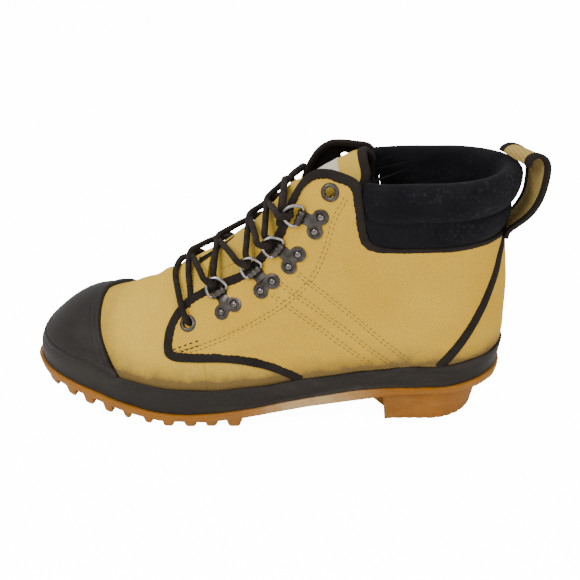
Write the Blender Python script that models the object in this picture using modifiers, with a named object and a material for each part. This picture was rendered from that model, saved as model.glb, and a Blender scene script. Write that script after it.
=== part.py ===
"""Ankle-high wading boot for the left foot: +X to the toe, +Y to the outer side, +Z up.

A canvas upper, a rubber toe cap and foxing strip, a moulded gum outsole with a block heel and
cleats, a padded collar, a tongue, an insole, a pull loop, and lacing over D-rings on riveted
clips. Sizes below are in millimetres, measured from the back of the outsole (x), the middle of
the heel (y) and the floor (z); each mesh is made in metres. An empty holds every piece, with its
origin on the floor under the middle of the whole boot.
"""

import functools
import math

import bmesh
import bpy
import numpy as np
from mathutils import Matrix, Vector

MM = 0.001

# Driving sizes
WALL = 2.0  # canvas and lining of the upper
GAP = 0.3  # between pieces that touch
FOXING = 3.0  # thickness of the rubber strip
CAP = 2.4  # thickness of the toe cap
WELT = 1.8  # how far the outsole's edge stands out past the foxing
INSOLE = 4.0
TONGUE = 3.5
LACE = 4.0  # diameter
HEEL_X = 35.0  # ribs fan out round this axis at the heel
TOE_X = 262.0  # and round this one at the toe
HEEL_SHARE = 0.17  # share of a side's ribs that lie in the heel's fan
TOE_SHARE = 0.15
THROAT_FRONT = 178.0  # where the vamp ends and the tongue begins, on the ridge

# The last's form: one row for each cross-section. Level 0 is the feather line, 1 the foxing's
# top, 2 the wall, 3 the shoulder, 4 the crown and 5 the ridge; out and in are half widths on the
# outer and the inner side at levels 1 to 4, and ridge is how far the ridge lies to the outside.
SECTION_COLUMNS = "x z0 z1 z2 z3 z4 z5 out1 out2 out3 out4 in1 in2 in3 in4 ridge".split()
SECTIONS = dict(zip(SECTION_COLUMNS, np.array([
    (35, 27.0, 43.0, 80.0, 124.0, 170.0, 226.0, 33.0, 36.0, 36.0, 36.5, 32.0, 35.0, 34.0, 32.5, 0.0),
    (60, 26.8, 42.0, 82.0, 123.0, 170.0, 205.0, 34.5, 36.5, 37.0, 35.5, 32.5, 35.0, 34.5, 31.5, 0.0),
    (85, 25.7, 39.8, 82.0, 123.0, 167.0, 186.0, 37.5, 37.0, 35.5, 28.0, 32.5, 34.0, 33.5, 25.5, 0.0),
    (105, 22.7, 37.6, 78.0, 118.0, 167.0, 170.0, 40.0, 38.0, 34.0, 22.5, 33.0, 34.5, 32.0, 21.5, -0.5),
    (125, 19.3, 35.0, 74.0, 107.0, 142.5, 147.5, 42.5, 39.5, 33.5, 24.0, 34.5, 35.0, 31.5, 23.0, -1.0),
    (145, 15.3, 31.7, 66.0, 94.5, 117.5, 127.5, 45.0, 41.0, 33.0, 20.5, 37.5, 37.0, 31.0, 20.0, -1.5),
    (165, 12.0, 29.8, 57.0, 81.5, 101.5, 112.5, 47.0, 43.5, 34.5, 19.0, 41.5, 40.0, 32.5, 18.5, -2.0),
    (185, 10.0, 29.3, 50.0, 71.0, 90.0, 100.5, 48.8, 46.0, 36.5, 19.5, 45.3, 43.5, 35.0, 19.0, -2.5),
    (210, 10.4, 31.3, 47.0, 63.5, 79.2, 88.5, 49.5, 47.5, 38.5, 21.0, 49.0, 47.0, 38.5, 21.0, -3.0),
    (235, 15.0, 36.0, 47.5, 60.5, 71.2, 77.5, 47.0, 45.2, 38.0, 21.5, 49.3, 47.5, 40.0, 22.5, -3.5),
    (262, 20.7, 43.5, 50.5, 58.5, 66.0, 69.8, 39.5, 37.5, 31.0, 17.0, 43.0, 41.0, 35.0, 19.5, -4.5),
]).T))
TUCK = 1.8  # how far the feather line lies inside the foxing's top

# The form's two ends, one row for each level.
END_COLUMNS = "heel_x heel_z toe_x toe_z".split()
ENDS = dict(zip(END_COLUMNS, np.array([
    (2.5, 30.0, 306.0, 29.5),
    (-2.0, 47.0, 300.0, 48.5),
    (-5.0, 80.0, 293.5, 54.5),
    (-4.0, 124.0, 284.5, 61.0),
    (-11.5, 170.0, 273.0, 66.8),
    (35.0, 226.0, 262.0, 69.8),
]).T))
TOE_TIP_Y = -2.5

# The upper's top edge seen from the side: under the collar, round the ear and down the throat.
EDGE_X, EDGE_Z = np.array([
    (35.0, 122.5), (55.0, 122.2), (62.0, 122.7), (68.0, 124.0), (71.5, 126.4), (73.1, 130.0),
    (73.8, 135.0), (74.3, 143.0), (74.8, 151.0), (75.4, 156.5), (76.8, 160.4), (79.5, 162.9),
    (83.0, 164.1), (88.0, 165.2), (93.0, 166.2), (98.0, 166.4), (102.2, 165.6), (106.1, 163.4),
    (110.3, 159.6), (114.0, 154.4), (118.0, 147.3), (121.8, 139.0), (127.0, 129.0), (134.5, 119.0),
    (149.0, 103.3), (163.7, 95.5), (179.0, 88.0), (200.0, 78.0), (235.0, 61.0), (262.0, 58.5),
]).T

# The outsole under the plate, one row for each station: underside of the plate, cleats' foot.
TREAD_X, PLATE_Z, CLEAT_Z = np.array([
    (0.0, 24.5, 24.5), (60.0, 21.5, 21.5), (86.0, 18.5, 18.5), (115.0, 15.0, 15.0),
    (138.0, 11.0, 11.0), (156.0, 7.5, 0.0), (180.0, 4.5, 0.0), (212.0, 4.8, 0.0),
    (230.0, 8.0, 2.0), (253.0, 12.6, 5.3), (276.0, 17.6, 10.2), (292.0, 21.2, 14.4),
    (313.0, 26.6, 21.0),
]).T


def through(xs, ys, at, snug=False):
    """A smooth curve through the points (xs, ys), read at the places at.

    A snug curve doesn't swing past its points where they turn sharply.
    """
    slope = np.gradient(ys, xs)
    if snug:
        steps = np.diff(ys) / np.diff(xs)
        least = np.minimum(abs(steps[1:]), abs(steps[:-1])) * 3
        turns = steps[1:] * steps[:-1] <= 0
        slope[1:-1] = np.where(turns, 0, np.clip(slope[1:-1], -least, least))
    i = np.clip(np.searchsorted(xs, at) - 1, 0, len(xs) - 2)
    h = xs[i + 1] - xs[i]
    t = np.clip((at - xs[i]) / h, 0, 1)
    return (
        (2 * t**3 - 3 * t**2 + 1) * ys[i]
        + (t**3 - 2 * t**2 + t) * h * slope[i]
        + (3 * t**2 - 2 * t**3) * ys[i + 1]
        + (t**3 - t**2) * h * slope[i + 1]
    )


def share_at(x):
    """The place along a side, 0 at the heel and 1 at the toe, of the rib at x."""
    return HEEL_SHARE + (x - HEEL_X) / (TOE_X - HEEL_X) * (1 - HEEL_SHARE - TOE_SHARE)


def level_points(side, share, level):
    """Points of one level line. side is +1 outside and -1 inside, share runs heel to toe."""
    inner = (share - HEEL_SHARE) / (1 - HEEL_SHARE - TOE_SHARE)
    x = HEEL_X + np.clip(inner, 0, 1) * (TOE_X - HEEL_X)
    z = through(SECTIONS["x"], SECTIONS[f"z{level}"], x)
    if level == 5:
        y = through(SECTIONS["x"], SECTIONS["ridge"], x)
        return np.stack([x, y, z], axis=-1)
    column = max(level, 1)

    def width(at):
        out = through(SECTIONS["x"], SECTIONS[f"out{column}"], at)
        inside = through(SECTIONS["x"], SECTIONS[f"in{column}"], at)
        return np.where(side > 0, out, inside) - (TUCK if level == 0 else 0)

    y = side * width(x)
    points = np.stack([x, y, z], axis=-1)
    for end_x, end_y, end_z, start, turn in (
        (ENDS["heel_x"][level], 0.0, ENDS["heel_z"][level], HEEL_X, 1 - share / HEEL_SHARE),
        (ENDS["toe_x"][level], TOE_TIP_Y, ENDS["toe_z"][level], TOE_X, 1 - (1 - share) / TOE_SHARE),
    ):
        t = np.clip(turn, 0, 1)
        step = 1.0 if start == HEEL_X else -1.0
        slope = side * (width(start + step) - width(start)) / step
        reach = 0.56 * (end_x - start)
        a, b, c, d = (1 - t) ** 3, 3 * t * (1 - t) ** 2, 3 * t**2 * (1 - t), t**3
        bend_x = start + b * reach + (c + d) * (end_x - start)
        bend_y = a * y + b * (y + slope * reach) + c * (end_y + 0.56 * (y - end_y)) + d * end_y
        bend_z = z + (end_z - z) * (bend_x - start) / (end_x - start)
        bend = np.stack([bend_x, bend_y, bend_z], axis=-1)
        points = np.where((turn > 0)[..., None], bend, points)
    return points


def form(side, share, level):
    """Points on the last's form. level may lie between two levels, as 2.5 does."""
    side, share, level = np.broadcast_arrays(*(np.asarray(a, float) for a in (side, share, level)))
    lines = np.stack([level_points(side, share, k) for k in range(6)], axis=-2)
    chord = np.linalg.norm(np.diff(lines, axis=-2), axis=-1)[..., None]
    steps = np.diff(lines, axis=-2) / chord
    slope = np.empty_like(lines)
    before, after = chord[..., :-1, :], chord[..., 1:, :]
    slope[..., 1:-1, :] = (steps[..., :-1, :] * after + steps[..., 1:, :] * before) / (before + after)
    slope[..., 0, :] = steps[..., 0, :]
    last = lines[..., 5, :] - lines[..., 4, :]
    flat = np.linalg.norm(last[..., :2], axis=-1)
    slope[..., 5, :2] = last[..., :2] / flat[..., None]
    ahead = np.clip(-last[..., 0] / flat, -1, 1)
    slope[..., 5, 2] = np.where(share > 0.5, 0.2 * ahead, 0)
    i = np.clip(level.astype(int), 0, 4)[..., None, None]
    t = (level - i[..., 0, 0])[..., None]
    start, end, h, m0, m1 = (
        np.take_along_axis(array, index, axis=-2)[..., 0, :]
        for array, index in ((lines, i), (lines, i + 1), (chord, i), (slope, i), (slope, i + 1))
    )
    return (
        (2 * t**3 - 3 * t**2 + 1) * start
        + (t**3 - 2 * t**2 + t) * h * m0
        + (3 * t**2 - 2 * t**3) * end
        + (t**3 - t**2) * h * m1
    )


def outward(side, share, level, level_only=False):
    """Unit normals of the form; level_only keeps them horizontal."""
    side, share, level = np.broadcast_arrays(*(np.asarray(a, float) for a in (side, share, level)))
    tiny = 1e-3
    low, high = np.clip(level - tiny, 0, 4.97), np.clip(level + tiny, 0, 4.97 + tiny)
    back, front = np.clip(share - tiny, 0, 1), np.clip(share + tiny, 0, 1)
    along = form(side, front, np.minimum(level, 4.97)) - form(side, back, np.minimum(level, 4.97))
    up = form(side, share, high) - form(side, share, low)
    normal = np.cross(up, along) * side[..., None]
    if level_only:
        normal[..., 2] = 0
    return normal / np.linalg.norm(normal, axis=-1)[..., None]


def skin(side, share, level, lift, level_only=False):
    """Points at a height of lift above the form."""
    return form(side, share, level) + lift * outward(side, share, level, level_only)


LEVELS = np.linspace(0, 5, 201)


@functools.cache
def rib_heights(side, share):
    """Heights of a rib's points at LEVELS."""
    return form(side, share, LEVELS)[:, 2]


def level_of(side, share, z):
    """The level at which the rib at share reaches the height z, or each of several heights."""
    return np.interp(z, rib_heights(side, share), LEVELS)


def spot(side, x, z, lift=0.0):
    """The point of the form that is seen at (x, z) from the side, raised by lift."""
    share = share_at(x)
    return skin(side, share, level_of(side, share, z), lift)


def edge_height(share, ahead=0.0):
    """Height of the upper's top edge on a rib, or on one that lies ahead of it."""
    x = HEEL_X + (share - HEEL_SHARE) / (1 - HEEL_SHARE - TOE_SHARE) * (TOE_X - HEEL_X) + ahead
    return float(through(EDGE_X, EDGE_Z, np.clip(x, HEEL_X, TOE_X), snug=True))


def edge_level(side, share):
    """The level of the upper's top edge on a rib."""
    return level_of(side, share, edge_height(share))


COLLAR_FRONT = 73.0
COLLAR_CLEARANCE = 1.3  # between the collar's front end and the ear's back edge

# The ribs that every loft shares, so that facets of neighbours lie parallel.
SIDE_RIBS = (35, 44, 53, 60, 65, 68.5, 71, COLLAR_FRONT, 74.8, 77.5, 82, 89, 97, 105, 112, 118, 125, 132, 139, 146,
             155, 166, THROAT_FRONT, 190, 202, 214, 226, 238, 250, 262)
FAN = (0.2, 0.4, 0.6, 0.8)
HEEL_RIBS = [0.0] + [HEEL_SHARE * f for f in FAN]
TOE_RIBS = [1 - TOE_SHARE * (1 - f) for f in FAN] + [1.0]
SHARES = HEEL_RIBS + [share_at(x) for x in SIDE_RIBS] + TOE_RIBS
RING = [(1, s) for s in SHARES] + [(-1, s) for s in SHARES[-2:0:-1]]


# ---------------------------------------------------------------- making meshes

def clear_scene():
    for piece in list(bpy.data.objects):
        bpy.data.objects.remove(piece)


def collection(name):
    made = bpy.data.collections.new(name)
    bpy.context.scene.collection.children.link(made)
    return made


def material(name, colour, roughness, metallic=0.0):
    made = bpy.data.materials.new(name)
    made.use_nodes = True
    shader = made.node_tree.nodes["Principled BSDF"]
    shader.inputs["Base Color"].default_value = (*colour, 1)
    shader.inputs["Roughness"].default_value = roughness
    shader.inputs["Metallic"].default_value = metallic
    return made


def add(name, mesh, finish):
    """An object in the boot's collection, held by the boot's empty."""
    piece = bpy.data.objects.new(name, mesh)
    BOOT.objects.link(piece)
    piece.parent = ORIGIN
    if finish:
        mesh.materials.append(finish)
    return piece


def finish_mesh(work, name):
    """A mesh from a bmesh, with doubles merged and faces turned outwards."""
    bmesh.ops.remove_doubles(work, verts=work.verts, dist=1e-6)
    bmesh.ops.recalc_face_normals(work, faces=work.faces)
    mesh = bpy.data.meshes.new(name)
    work.to_mesh(mesh)
    work.free()
    mesh.shade_smooth()
    mesh.set_sharp_from_angle(angle=math.radians(35))
    return mesh


def loft(name, rings, finish, closed=False, caps=True):
    """A solid or a skin through rings of points; the rings are closed loops of equal length."""
    work = bmesh.new()
    rows = [[work.verts.new(Vector(p) * MM) for p in ring] for ring in rings]
    pairs = list(zip(rows, rows[1:] + rows[:1])) if closed else list(zip(rows, rows[1:]))
    for low, high in pairs:
        for i in range(len(low)):
            j = (i + 1) % len(low)
            work.faces.new((low[i], low[j], high[j], high[i]))
    if caps and not closed:
        work.faces.new(rows[0])
        work.faces.new(rows[-1])
    return add(name, finish_mesh(work, name), finish)


def sheet(name, rows, finish, thickness, keep=None):
    """An open skin from rows of points, made a wall by Solidify, inwards from the skin."""
    work = bmesh.new()
    grid = [[work.verts.new(Vector(p) * MM) for p in row] for row in rows]
    for i, (near, far) in enumerate(zip(grid, grid[1:])):
        for j in range(len(near) - 1):
            if keep is None or keep(i, j):
                work.faces.new((near[j], near[j + 1], far[j + 1], far[j]))
    loose = [v for v in work.verts if not v.link_faces]
    bmesh.ops.delete(work, geom=loose, context="VERTS")
    bmesh.ops.remove_doubles(work, verts=work.verts, dist=1e-6)
    mesh = bpy.data.meshes.new(name)
    work.to_mesh(mesh)
    work.free()
    mesh.shade_smooth()
    piece = add(name, mesh, finish)
    wall = piece.modifiers.new("wall", "SOLIDIFY")
    wall.thickness = thickness * MM
    wall.offset = -1
    wall.use_even_offset = True
    wall.thickness_clamp = 0
    return piece


def slab(name, top, bottom, finish):
    """A plate whose two faces are ladders between an outer and an inner rim."""
    work = bmesh.new()
    half = len(SHARES)
    faces = []
    for rim in (top, bottom):
        verts = [work.verts.new(Vector(p) * MM) for p in rim]
        count = len(verts)
        for i in range(half - 1):
            ring = [verts[i], verts[i + 1], verts[(count - i - 1) % count], verts[(count - i) % count]]
            if i + 1 == count - i - 1:
                ring.pop(2)
            work.faces.new(list(dict.fromkeys(ring)))
        faces.append(verts)
    for i in range(len(top)):
        j = (i + 1) % len(top)
        work.faces.new((faces[0][i], faces[1][i], faces[1][j], faces[0][j]))
    return add(name, finish_mesh(work, name), finish)


def tube(name, points, width, finish, closed=False, sides=1):
    """A round wire or cord along points."""
    curve = bpy.data.curves.new(name, "CURVE")
    curve.dimensions = "3D"
    spline = curve.splines.new("POLY")
    spline.points.add(len(points) - 1)
    for place, point in zip(spline.points, points):
        place.co = (*(Vector(point) * MM), 1)
    spline.use_cyclic_u = closed
    curve.bevel_depth = width / 2 * MM
    curve.bevel_resolution = sides
    curve.use_fill_caps = True
    piece = bpy.data.objects.new(name, curve)
    BOOT.objects.link(piece)
    piece.parent = ORIGIN
    curve.materials.append(finish)
    return piece


def boolean(piece, other, operation, solver="EXACT"):
    """Join other to piece, or cut piece with it; other becomes a hidden guide."""
    cut = piece.modifiers.new(operation.lower(), "BOOLEAN")
    cut.solver = solver
    cut.operation = operation
    cut.object = other
    BOOT.objects.unlink(other)
    GUIDES.objects.link(other)
    other.hide_render = True
    other.display_type = "WIRE"


# ---------------------------------------------------------------- soft and moulded pieces

LOW_LEVELS = (0.0, 0.5, 1.0)
WALL_STEPS = 6
CROWN_STEPS = 4


def rib_levels(side, share):
    """The levels of one rib's points: foxing, wall up to the top edge, and crown."""
    edge = edge_level(side, share)
    wall = [1 + (edge - 1) * (k + 1) / WALL_STEPS for k in range(WALL_STEPS)]
    crown = [edge + (5 - edge) * (k + 1) / CROWN_STEPS for k in range(CROWN_STEPS)]
    return list(LOW_LEVELS) + wall + crown


def make_upper(canvas):
    """The hollow canvas shell, open at the collar and the throat, and underneath."""
    rows = []
    for side, share in RING + RING[:1]:
        row = skin(side, share, rib_levels(side, share), 0)
        row[0, 2] = sole_top(row[0, 0]) + GAP
        rows.append(row)
    edge_row = len(LOW_LEVELS) + WALL_STEPS - 1
    front = share_at(THROAT_FRONT) - 1e-9
    shares = [share for _, share in RING + RING[:1]]

    def keep(i, j):
        return j < edge_row or (shares[i] >= front and shares[i + 1] >= front)

    return sheet("upper", rows, canvas, WALL, keep)


def make_foxing(rubber):
    """The rubber strip round the upper's lower edge."""
    rings = []
    for side, share in RING:
        inner = skin(side, share, np.array(LOW_LEVELS), GAP, True)
        outer = skin(side, share, np.array((0.0, 0.5, 0.93)), FOXING + GAP, True)
        outer[2] = skin(side, share, 0.93, FOXING + GAP - 0.4, True)
        for face in (inner, outer):
            face[0, 2] = sole_top(face[0, 0]) + GAP
        rings.append([*inner, *outer[::-1]])
    return loft("foxing", rings, rubber, closed=True)


def seam_share(level):
    """Where the toe cap's seam crosses a level: further forward the higher it is."""
    z = form(1, share_at(244.0), level)[2]
    return share_at(236.0 + 16.0 * np.clip((z - 36.0) / 40.0, 0, 1))


def make_toe_cap(rubber):
    """The rubber cap over the toe, between two skins of the same form."""
    levels = [1.0 + 0.03] + [1 + k * 0.5 for k in range(1, 9)]
    steps = (0.0, 0.33, 0.66)
    columns = []
    for side in (1, -1):
        run = [("seam", f) for f in steps] + [("rib", s) for s in [share_at(TOE_X)] + TOE_RIBS]
        columns.append([(side, kind, value) for kind, value in run])
    path = columns[0] + columns[1][-2::-1]
    rows = []
    for side, kind, value in path:
        seam = np.array([float(seam_share(level)) for level in levels])
        share = seam + (share_at(TOE_X) - seam) * value if kind == "seam" else np.full(len(levels), value)
        row = skin(side, share, np.array(levels), GAP + 0.3 + CAP)
        rows.append(row)
    return sheet("toe_cap", rows, rubber, CAP)


def rim(lift, z_of, level=0.0):
    """Points round the feather line, moved out by lift, at the heights that z_of gives."""
    points = []
    for side, share in RING:
        point = skin(side, share, level, lift, True)
        point[2] = z_of(point)
        points.append(point)
    return points


def sole_top(x):
    """Height of the outsole's top face at x."""
    line_x = np.concatenate([[ENDS["heel_x"][0] - 5], SECTIONS["x"], [ENDS["toe_x"][0] + 5]])
    line_z = np.concatenate([[30.5], SECTIONS["z0"], [31.0]])
    return float(through(line_x, line_z, x))


def make_insole(lining):
    lift = -(WALL + 1.2)
    top = rim(lift, lambda p: sole_top(p[0]) + GAP + INSOLE)
    bottom = rim(lift, lambda p: sole_top(p[0]) + GAP)
    return slab("insole", top, bottom, lining)


def make_outsole(gum):
    """The moulded sole: plate, heel block and cleats in one solid."""
    edge = FOXING + GAP + WELT
    top = rim(edge, lambda p: sole_top(p[0]))
    bottom = rim(edge - 0.8, lambda p: float(np.interp(p[0], TREAD_X, PLATE_Z)))
    plate = slab("outsole", top, bottom, gum)
    boolean(plate, make_heel_block(), "UNION", "MANIFOLD")
    boolean(plate, make_cleats(edge - 0.8), "UNION", "MANIFOLD")
    return plate


# The heel block: one row for each outline, from the plate down: height, place of its back, and
# how far it lies inside the plate's edge.
HEEL_OUTLINES = ((24.5, 7.0, 3.0), (20.0, 9.0, 3.6), (0.0, 14.5, 5.6))
HEEL_BREAST = 68.0
WEDGE_REACH = 88.0  # the breast's middle slopes forward to here, under the plate
WEDGE_HALF = 22.0


def make_heel_block():
    """The block heel, tapering to its foot, with an upright breast and a sloping wedge there."""
    shares = [s for s in SHARES if s <= share_at(61)]
    rings = []
    for z, back, inset in HEEL_OUTLINES:
        ring = []
        for side, group in ((1, shares + [share_at(HEEL_BREAST)]), (-1, [share_at(HEEL_BREAST)] + shares[:0:-1])):
            for share in group:
                point = skin(side, share, 0, FOXING + WELT - inset, True)
                start = 2.5 - FOXING - WELT + inset
                point[0] = back + (HEEL_BREAST - back) * (point[0] - start) / (HEEL_BREAST - start)
                point[2] = z
                ring.append(point)
        rings.append(ring)
    block = loft("heel_block", rings, None)
    wedge = [
        [(HEEL_BREAST - 4, y, 0.0), (HEEL_BREAST, y, 0.0), (WEDGE_REACH, y, 19.5), (HEEL_BREAST - 4, y, 24.0)]
        for y in (-WEDGE_HALF, WEDGE_HALF)
    ]
    boolean(block, loft("heel_wedge", wedge, None), "UNION")
    return block


CLEAT_PITCH = 14.4
CLEAT_ROWS = 10
CLEAT_START = 163.0
CLEAT_LENGTH = 8.2
CLEAT_SINK = 1.6


def make_cleats(edge):
    """Rows of tapered cleats under the forefoot: one at each edge and one in the middle."""
    work = bmesh.new()
    for row in range(CLEAT_ROWS):
        x = CLEAT_START + row * CLEAT_PITCH
        for block in (-1, 0, 1):
            place = x + (CLEAT_PITCH / 2 - 1.5 if block == 0 else 0)
            if place > 300:
                continue
            add_cleat(work, place, block, edge)
    name = "cleats"
    return add(name, finish_mesh(work, name), None)


@functools.cache
def edge_line(side, lift):
    """The outsole's edge on one side, from the heel to the toe."""
    return skin(side, np.linspace(0, 1, 241), 0, lift, True)


def edge_y(side, x, lift):
    """How far the outsole's edge lies to the side at x."""
    line = edge_line(side, lift)
    return float(np.interp(x, line[:, 0], line[:, 1]))


def add_cleat(work, x, block, edge):
    """One cleat: a block that narrows towards its foot."""
    half = CLEAT_LENGTH / 2
    foot = float(np.interp(x, TREAD_X, CLEAT_Z))
    top = float(np.interp(x, TREAD_X, PLATE_Z)) + CLEAT_SINK
    corners = []
    for z, shrink in ((top, 0.0), (foot, 1.3)):
        for end in (-1, 1):
            for wing in (-1, 1):
                px = x + end * (half - shrink)
                if block == 0:
                    y = wing * (15.0 - shrink) - 3.5
                    px -= 3.0 * abs(wing)
                else:
                    rim_y = abs(edge_y(block, px, edge - shrink))
                    y = block * (rim_y if wing > 0 else max(rim_y * 0.52, 6.0) + shrink)
                z_here = z
                if z == foot:
                    z_here = float(np.interp(px, TREAD_X, CLEAT_Z)) if foot > 0 else 0.0
                corners.append(work.verts.new(Vector((px, y, z_here)) * MM))
    for loop in ((0, 1, 3, 2), (4, 6, 7, 5), (0, 4, 5, 1), (2, 3, 7, 6), (0, 2, 6, 4), (1, 5, 7, 3)):
        work.faces.new([corners[i] for i in loop])


# ---------------------------------------------------------------- collar, tongue, loop

COLLAR_TOP_BACK = 160.5
COLLAR_TOP_FRONT = 161.0
# The padded collar's cross-section: one row for each point, the height as a share of the band
# and how far it stands out from the form; it has two rolls with a stitched line between them.
COLLAR_SECTION = (
    (0.000, 0.4), (0.100, 2.0), (0.280, 2.9), (0.440, 1.5), (0.600, 3.2), (0.820, 3.6),
    (0.960, 1.2), (1.000, -3.5), (0.950, -8.0), (0.780, -9.8), (0.450, -9.6), (0.130, -8.4),
    (0.015, -4.0),
)


def make_collar(padding):
    shares = [s for s in SHARES if s <= share_at(COLLAR_FRONT)]
    places = [(1, s) for s in shares[::-1]] + [(-1, s) for s in shares[1:]]
    rings = []
    for side, share in places:
        x = form(side, share, 3)[0]
        low = edge_height(share, COLLAR_CLEARANCE) + GAP + 0.2
        high = float(np.interp(x, (-15, COLLAR_FRONT), (COLLAR_TOP_BACK, COLLAR_TOP_FRONT)))
        thin = float(np.interp(x, (48, COLLAR_FRONT), (1.0, 0.75)))
        height, lift = np.array(COLLAR_SECTION).T
        level = level_of(side, share, low + (high - low) * height)
        base = form(side, share, level)
        rings.append(base + (lift * thin)[:, None] * outward(side, share, level, True))
    return loft("collar", rings, padding)


TONGUE_TOP_X = 77.0
# The tongue: one row for each station along the ridge: depth of its sides below the ridge,
# measured square to it, and the greatest half width.
TONGUE_X, TONGUE_DEPTH, TONGUE_HALF = np.array([
    (84.0, 25.0, 19.0), (100.0, 28.0, 19.5), (120.0, 31.0, 21.5), (140.0, 33.0, 27.0),
    (160.0, 36.0, 31.0), (178.0, 40.0, 36.0),
]).T
TONGUE_DROP = np.array([
    (77.0, 21.6), (84.0, 18.0), (90.0, 16.2), (99.0, 14.0), (105.0, 12.2), (112.0, 8.4), (122.0, 2.0), (130.0, 0.0),
]).T
TONGUE_FRONT = THROAT_FRONT - 1.6
TONGUE_STATIONS = 11
TONGUE_SINKS_BY = 0.45  # share of the half width over which the tongue dips under the quarters
TONGUE_ROOM = 1.1  # between the tongue and the quarters' inner face
TONGUE_ACROSS = 7


def ridge_height(x):
    return float(through(SECTIONS["x"], SECTIONS["z5"], x))


def tongue_height(x):
    """Height of the tongue's middle, which drops from the ridge towards its top."""
    return ridge_height(x) - float(np.interp(x, *TONGUE_DROP))


def tongue_point(x_ridge, across):
    """A point of the tongue's outer face; across runs from -1, inside, to 1, outside."""
    side = 1 if across >= 0 else -1
    slope = tongue_height(x_ridge + 1) - tongue_height(x_ridge - 1)
    lean = math.atan2(-slope / 2, 1) * float(np.interp(x_ridge, (135, THROAT_FRONT), (1, 0)))
    depth = float(np.interp(x_ridge, TONGUE_X, TONGUE_DEPTH)) * (1 - math.cos(across * math.pi / 2)) ** 0.9
    x = x_ridge - depth * math.sin(lean)
    z = tongue_height(x_ridge) - depth * math.cos(lean)
    if depth < 1e-6:
        return np.array([x, float(through(SECTIONS["x"], SECTIONS["ridge"], x)), z])
    share = share_at(max(x, HEEL_X))
    point = form(side, share, level_of(side, share, z))
    aside = np.clip(abs(across) / TONGUE_SINKS_BY, 0, 1)
    sink = (WALL + TONGUE_ROOM) * aside**2 * (3 - 2 * aside)
    limit = float(np.interp(x_ridge, TONGUE_X, TONGUE_HALF)) * math.sin(abs(across) * math.pi / 2)
    return np.array([x, side * min(abs(point[1]) - sink, limit), z - sink * 0.4])


def make_tongue(canvas):
    rows = []
    for k in range(TONGUE_STATIONS):
        x = TONGUE_FRONT + (TONGUE_TOP_X - TONGUE_FRONT) * k / (TONGUE_STATIONS - 1)
        rows.append([tongue_point(x, a / TONGUE_ACROSS) for a in range(-TONGUE_ACROSS, TONGUE_ACROSS + 1)])
    return sheet("tongue", rows, canvas, TONGUE)


# ---------------------------------------------------------------- loop, clips, rings, eyelets

LOOP_WIDTH = 30.0
LOOP_THICK = 2.2
# The pull loop's line at its outer edge and, beside it, at its inner edge: up from the collar's
# lower seam and over, with a twist that lays the inner edge on the collar.
LOOP_LINES = (
    (-5.6, 119.0, -5.6, 119.0), (-6.4, 122.5, -6.4, 122.5), (-11.0, 126.8, -10.2, 127.0),
    (-16.3, 131.0, -13.2, 132.0), (-20.8, 136.0, -15.7, 138.0), (-24.6, 143.0, -16.8, 145.0),
    (-27.2, 152.0, -17.0, 153.0), (-28.4, 162.0, -15.5, 160.5), (-26.8, 167.2, -11.5, 165.2),
    (-22.8, 169.4, -6.5, 166.6), (-18.8, 167.4, -2.6, 165.2), (-17.6, 163.0, -1.4, 163.4),
)


def make_pull_loop(webbing):
    """The webbing loop behind the collar: a strap lofted along its line."""
    outer, inner = (np.array(LOOP_LINES)[:, k:k + 2] for k in (0, 2))
    tangent = np.gradient((outer + inner) / 2, axis=0)
    tangent /= np.linalg.norm(tangent, axis=1)[:, None]
    half = LOOP_THICK / 2
    rings = []
    for ends, (tx, tz) in zip(zip(inner, outer), tangent):
        rings.append([
            (ends[wing][0] + sign * half * tz, (2 * wing - 1) * LOOP_WIDTH / 2, ends[wing][1] - sign * half * tx)
            for sign, wing in ((1, 0), (1, 1), (-1, 1), (-1, 0))
        ])
    return loft("pull_loop", rings, webbing)


# Clips along the throat from the toe upwards: where the middle of the two rivets lies, seen from
# the side, and the clip's direction in degrees above level.
CLIPS = ((160.9, 80.8, 55.0), (135.0, 96.3, 49.0), (117.5, 113.5, 37.0), (101.5, 136.5, 25.0))
EYELETS = ((187.8, 69.8), (93.3, 155.6))  # the lowest and the top one, seen from the side
RIVET_SPREAD = 5.0
PLATE_THICK = 1.0
LOBE = 4.9  # radius of a clip's lobes
EYELET_SIDES = 10
LACE_STEP = 11.0
BARREL_X = 11.0
BARREL_Z = 2.7
BARREL_RADIUS = 2.4
BARREL_BORE = 1.45
BARREL_LENGTH = 9.6
WIRE = 2.0
RING_HALF = 6.6
RING_APEX = (20.2, 5.9)  # reach from the rivets, and height over the canvas


def place_on(side, x, z, heading, spread=RIVET_SPREAD, reach=BARREL_X):
    """A frame resting on the quarter: X along the heading seen from the side, Z out of the canvas.

    It lies on the form's points round a piece that reaches spread to each side and reach ahead.
    """
    ahead = np.array([math.cos(heading), math.sin(heading)])
    beside = np.array([math.sin(heading), -math.cos(heading)]) * side
    marks = {
        (fx, fy): spot(side, x + fx * ahead[0] + fy * beside[0], z + fx * ahead[1] + fy * beside[1])
        for fx in (-0.8 * spread, 0.0, reach) for fy in (-1.8 * spread, 0.0, 1.8 * spread)
    }
    along = Vector(marks[reach, 0.0] - marks[-0.8 * spread, 0.0]).normalized()
    across = Vector(marks[0.0, 1.8 * spread] - marks[0.0, -1.8 * spread])
    across = (across - across.dot(along) * along).normalized()
    up = along.cross(across)
    here = Vector(marks[0.0, 0.0])
    rise = max((Vector(mark) - here).dot(up) for mark in marks.values())
    frame = Matrix((along, across, up)).transposed().to_4x4()
    frame.translation = (here + (rise + 0.3) * up) * MM
    return frame


def made_solid(piece):
    """The evaluated mesh of a piece, which is then removed."""
    graph = bpy.context.evaluated_depsgraph_get()
    mesh = bpy.data.meshes.new_from_object(piece.evaluated_get(graph))
    bpy.data.objects.remove(piece)
    return mesh


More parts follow.
